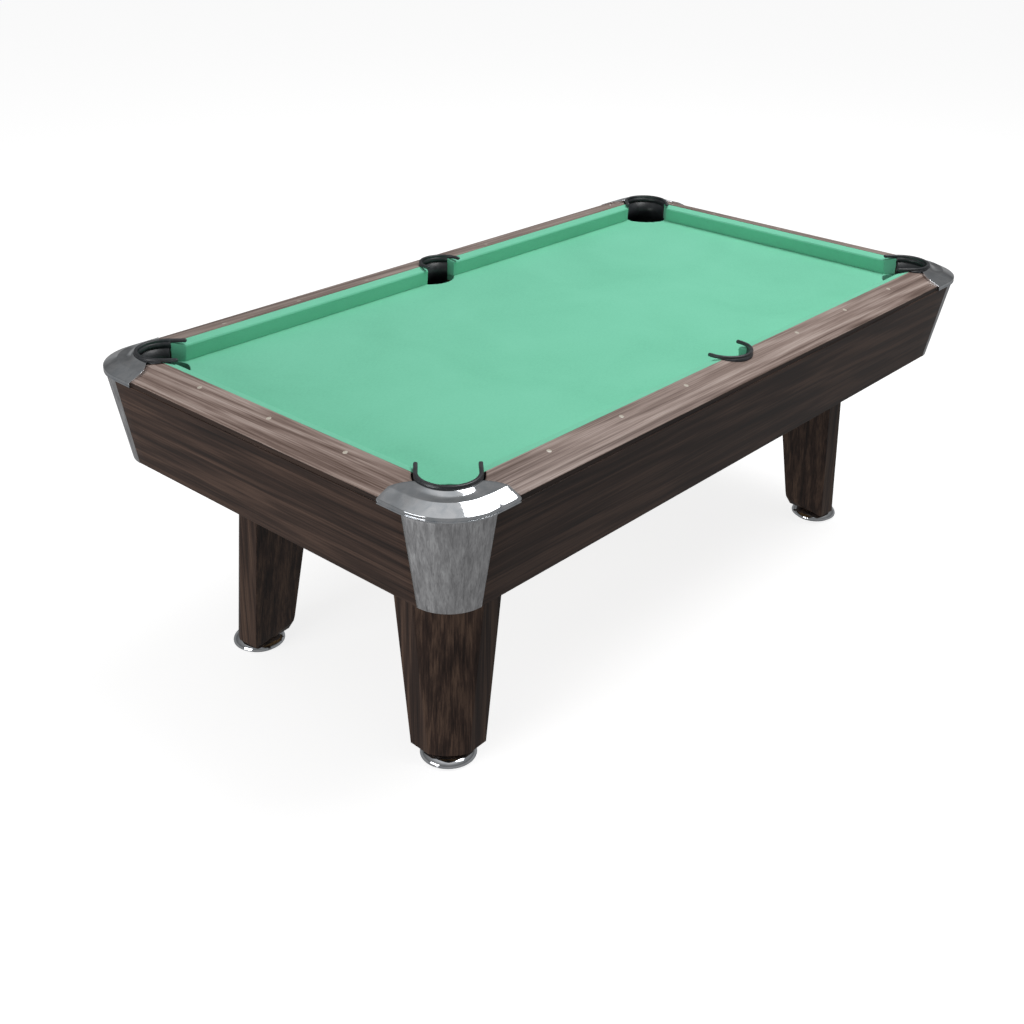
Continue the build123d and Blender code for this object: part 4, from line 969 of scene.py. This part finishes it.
def stud_grid():
    """A threaded rod: its radius dips and rises with height and turn as shares of a pitch."""
    angle = np.linspace(0, 2 * np.pi, 25)[None]
    height = np.linspace(0.013, 0.0955, 386)[:, None]
    wave = np.abs(((height / PITCH - angle / (2 * np.pi)) % 1.0) * 2 - 1)
    depth = np.clip(wave * 1.4 - 0.2, 0, 1) * 0.0008
    ease = np.clip(np.minimum(height - 0.013, 0.0955 - height) / 0.002, 0, 1)
    radius = STUD_RADIUS - 0.0002 - depth * ease - 0.001 * (1 - ease)
    rod = np.stack([radius * np.cos(angle), radius * np.sin(angle), height + 0 * angle], -1)
    ends = rod[[0, -1]] * np.array([0, 0, 1.0])
    return np.concatenate([ends[:1], rod, ends[1:]])


foot_chrome = chrome("foot_chrome", 0.0004)
pad_rubber = rubber("pad_rubber", (24, 24, 25), (52, 52, 52))
for corner, (sx, sy) in CORNERS.items():
    middle = np.array([-sx * (HALF_X - FOOT_INSET), -sy * (HALF_Y - FOOT_INSET), 0])
    disc = surface(f"disc_{corner}", [turned_shape(disc_profile(), 96) + middle])
    fit_out(disc, foot_chrome, f"foot_{corner}", "foot_chrome", f"foot_disc_{corner}")
    stud = surface(f"stud_{corner}", [stud_grid() + middle])
    fit_out(stud, zinc, f"foot_{corner}", "zinc", f"foot_stud_{corner}")
    coat(f"foot_pad_{corner}", pad_rubber)

# ---------------------------------------------------------------- floor, lights and camera
# A plain pale floor under a wide soft overhead light, with a weaker light from the left end and a
# dim surround that is pale low down and dark halfway up, for the metal to reflect.
floor_mesh = bpy.data.meshes.new("floor")
floor_mesh.from_pydata([(-60, -60, 0), (60, -60, 0), (60, 60, 0), (-60, 60, 0)], [], [(0, 1, 2, 3)])
floor = bpy.data.objects.new("floor", floor_mesh)
bpy.context.scene.collection.objects.link(floor)
floor_white = finish("floor_white", Base_Color=(0.40, 0.40, 0.40, 1), Roughness=0.9,
                     Specular_IOR_Level=0.0, Emission_Color=(1, 1, 1, 1), Emission_Strength=0.82)
floor_mesh.materials.append(floor_white)
floor.visible_diffuse = False
floor.visible_glossy = False

world = bpy.data.worlds.new("studio")
bpy.context.scene.world = world
world.use_nodes = True
sky = world.node_tree
height = sky.nodes.new("ShaderNodeSeparateXYZ")
direction = sky.nodes.new("ShaderNodeTexCoord")
sky.links.new(direction.outputs["Generated"], height.inputs[0])
band = sky.nodes.new("ShaderNodeValToRGB")
for _ in range(4):
    band.color_ramp.elements.new(0.5)
for element, (at, grey) in zip(band.color_ramp.elements, [
        (0.0, 0.21), (0.46, 0.25), (0.53, 0.28), (0.64, 0.12), (0.86, 0.24), (0.97, 0.56)]):
    element.position = at
    element.color = (grey, grey, grey, 1)
spread = sky.nodes.new("ShaderNodeMapRange")
spread.inputs["From Min"].default_value = -1.0
sky.links.new(height.outputs["Z"], spread.inputs["Value"])
sky.links.new(spread.outputs[0], band.inputs["Fac"])
sky.links.new(band.outputs[0], sky.nodes["Background"].inputs["Color"])
seen = sky.nodes.new("ShaderNodeLightPath")
white = sky.nodes.new("ShaderNodeBackground")
either = sky.nodes.new("ShaderNodeMixShader")
sky.links.new(seen.outputs["Is Camera Ray"], either.inputs[0])
sky.links.new(sky.nodes["Background"].outputs[0], either.inputs[1])
sky.links.new(white.outputs[0], either.inputs[2])
sky.links.new(either.outputs[0], sky.nodes["World Output"].inputs["Surface"])
white.inputs["Color"].default_value = (1, 1, 1, 1)


def softbox(name, at, aim, size, power):
    """A square soft light at a point, aimed at another."""
    lamp = bpy.data.lights.new(name, "AREA")
    lamp.shape, lamp.size, lamp.size_y, lamp.energy = "RECTANGLE", size[0], size[1], power
    box = bpy.data.objects.new(name, lamp)
    bpy.context.scene.collection.objects.link(box)
    box.location = at
    box.rotation_euler = (Vector(aim) - Vector(at)).to_track_quat("-Z", "Y").to_euler()


softbox("overhead_box", (1.45, -1.05, 5.3), (0, -0.3, 0.7), (5.0, 2.3), 215)
softbox("left_box", (-4.6, 0.3, 1.2), (-0.9, 0, 0.6), (2.4, 1.8), 75)

CAMERA_AT = (-2.56607, -2.04992, 1.93554)
CAMERA_TURN = (-48.854, 28.059, 1.256)  # azimuth, elevation and roll, in degrees
LENS, SENSOR = 46.691, 36.0  # mm

azimuth, elevation, roll = np.radians(CAMERA_TURN)
back = Vector((np.sin(azimuth) * np.cos(elevation), -np.cos(azimuth) * np.cos(elevation),
               np.sin(elevation)))
level = Vector((np.cos(azimuth), np.sin(azimuth), 0))
upright = back.cross(level)
right = level * float(np.cos(roll)) + upright * float(np.sin(roll))
up = upright * float(np.cos(roll)) - level * float(np.sin(roll))
camera_data = bpy.data.cameras.new("camera")
camera_data.sensor_width = SENSOR
camera_data.lens = LENS
camera = bpy.data.objects.new("camera", camera_data)
bpy.context.scene.collection.objects.link(camera)
turned = Matrix((right, up, back)).transposed().to_4x4()
camera.matrix_world = Matrix.Translation(CAMERA_AT) @ turned
bpy.context.scene.camera = camera
bpy.context.scene.view_settings.view_transform = "Standard"
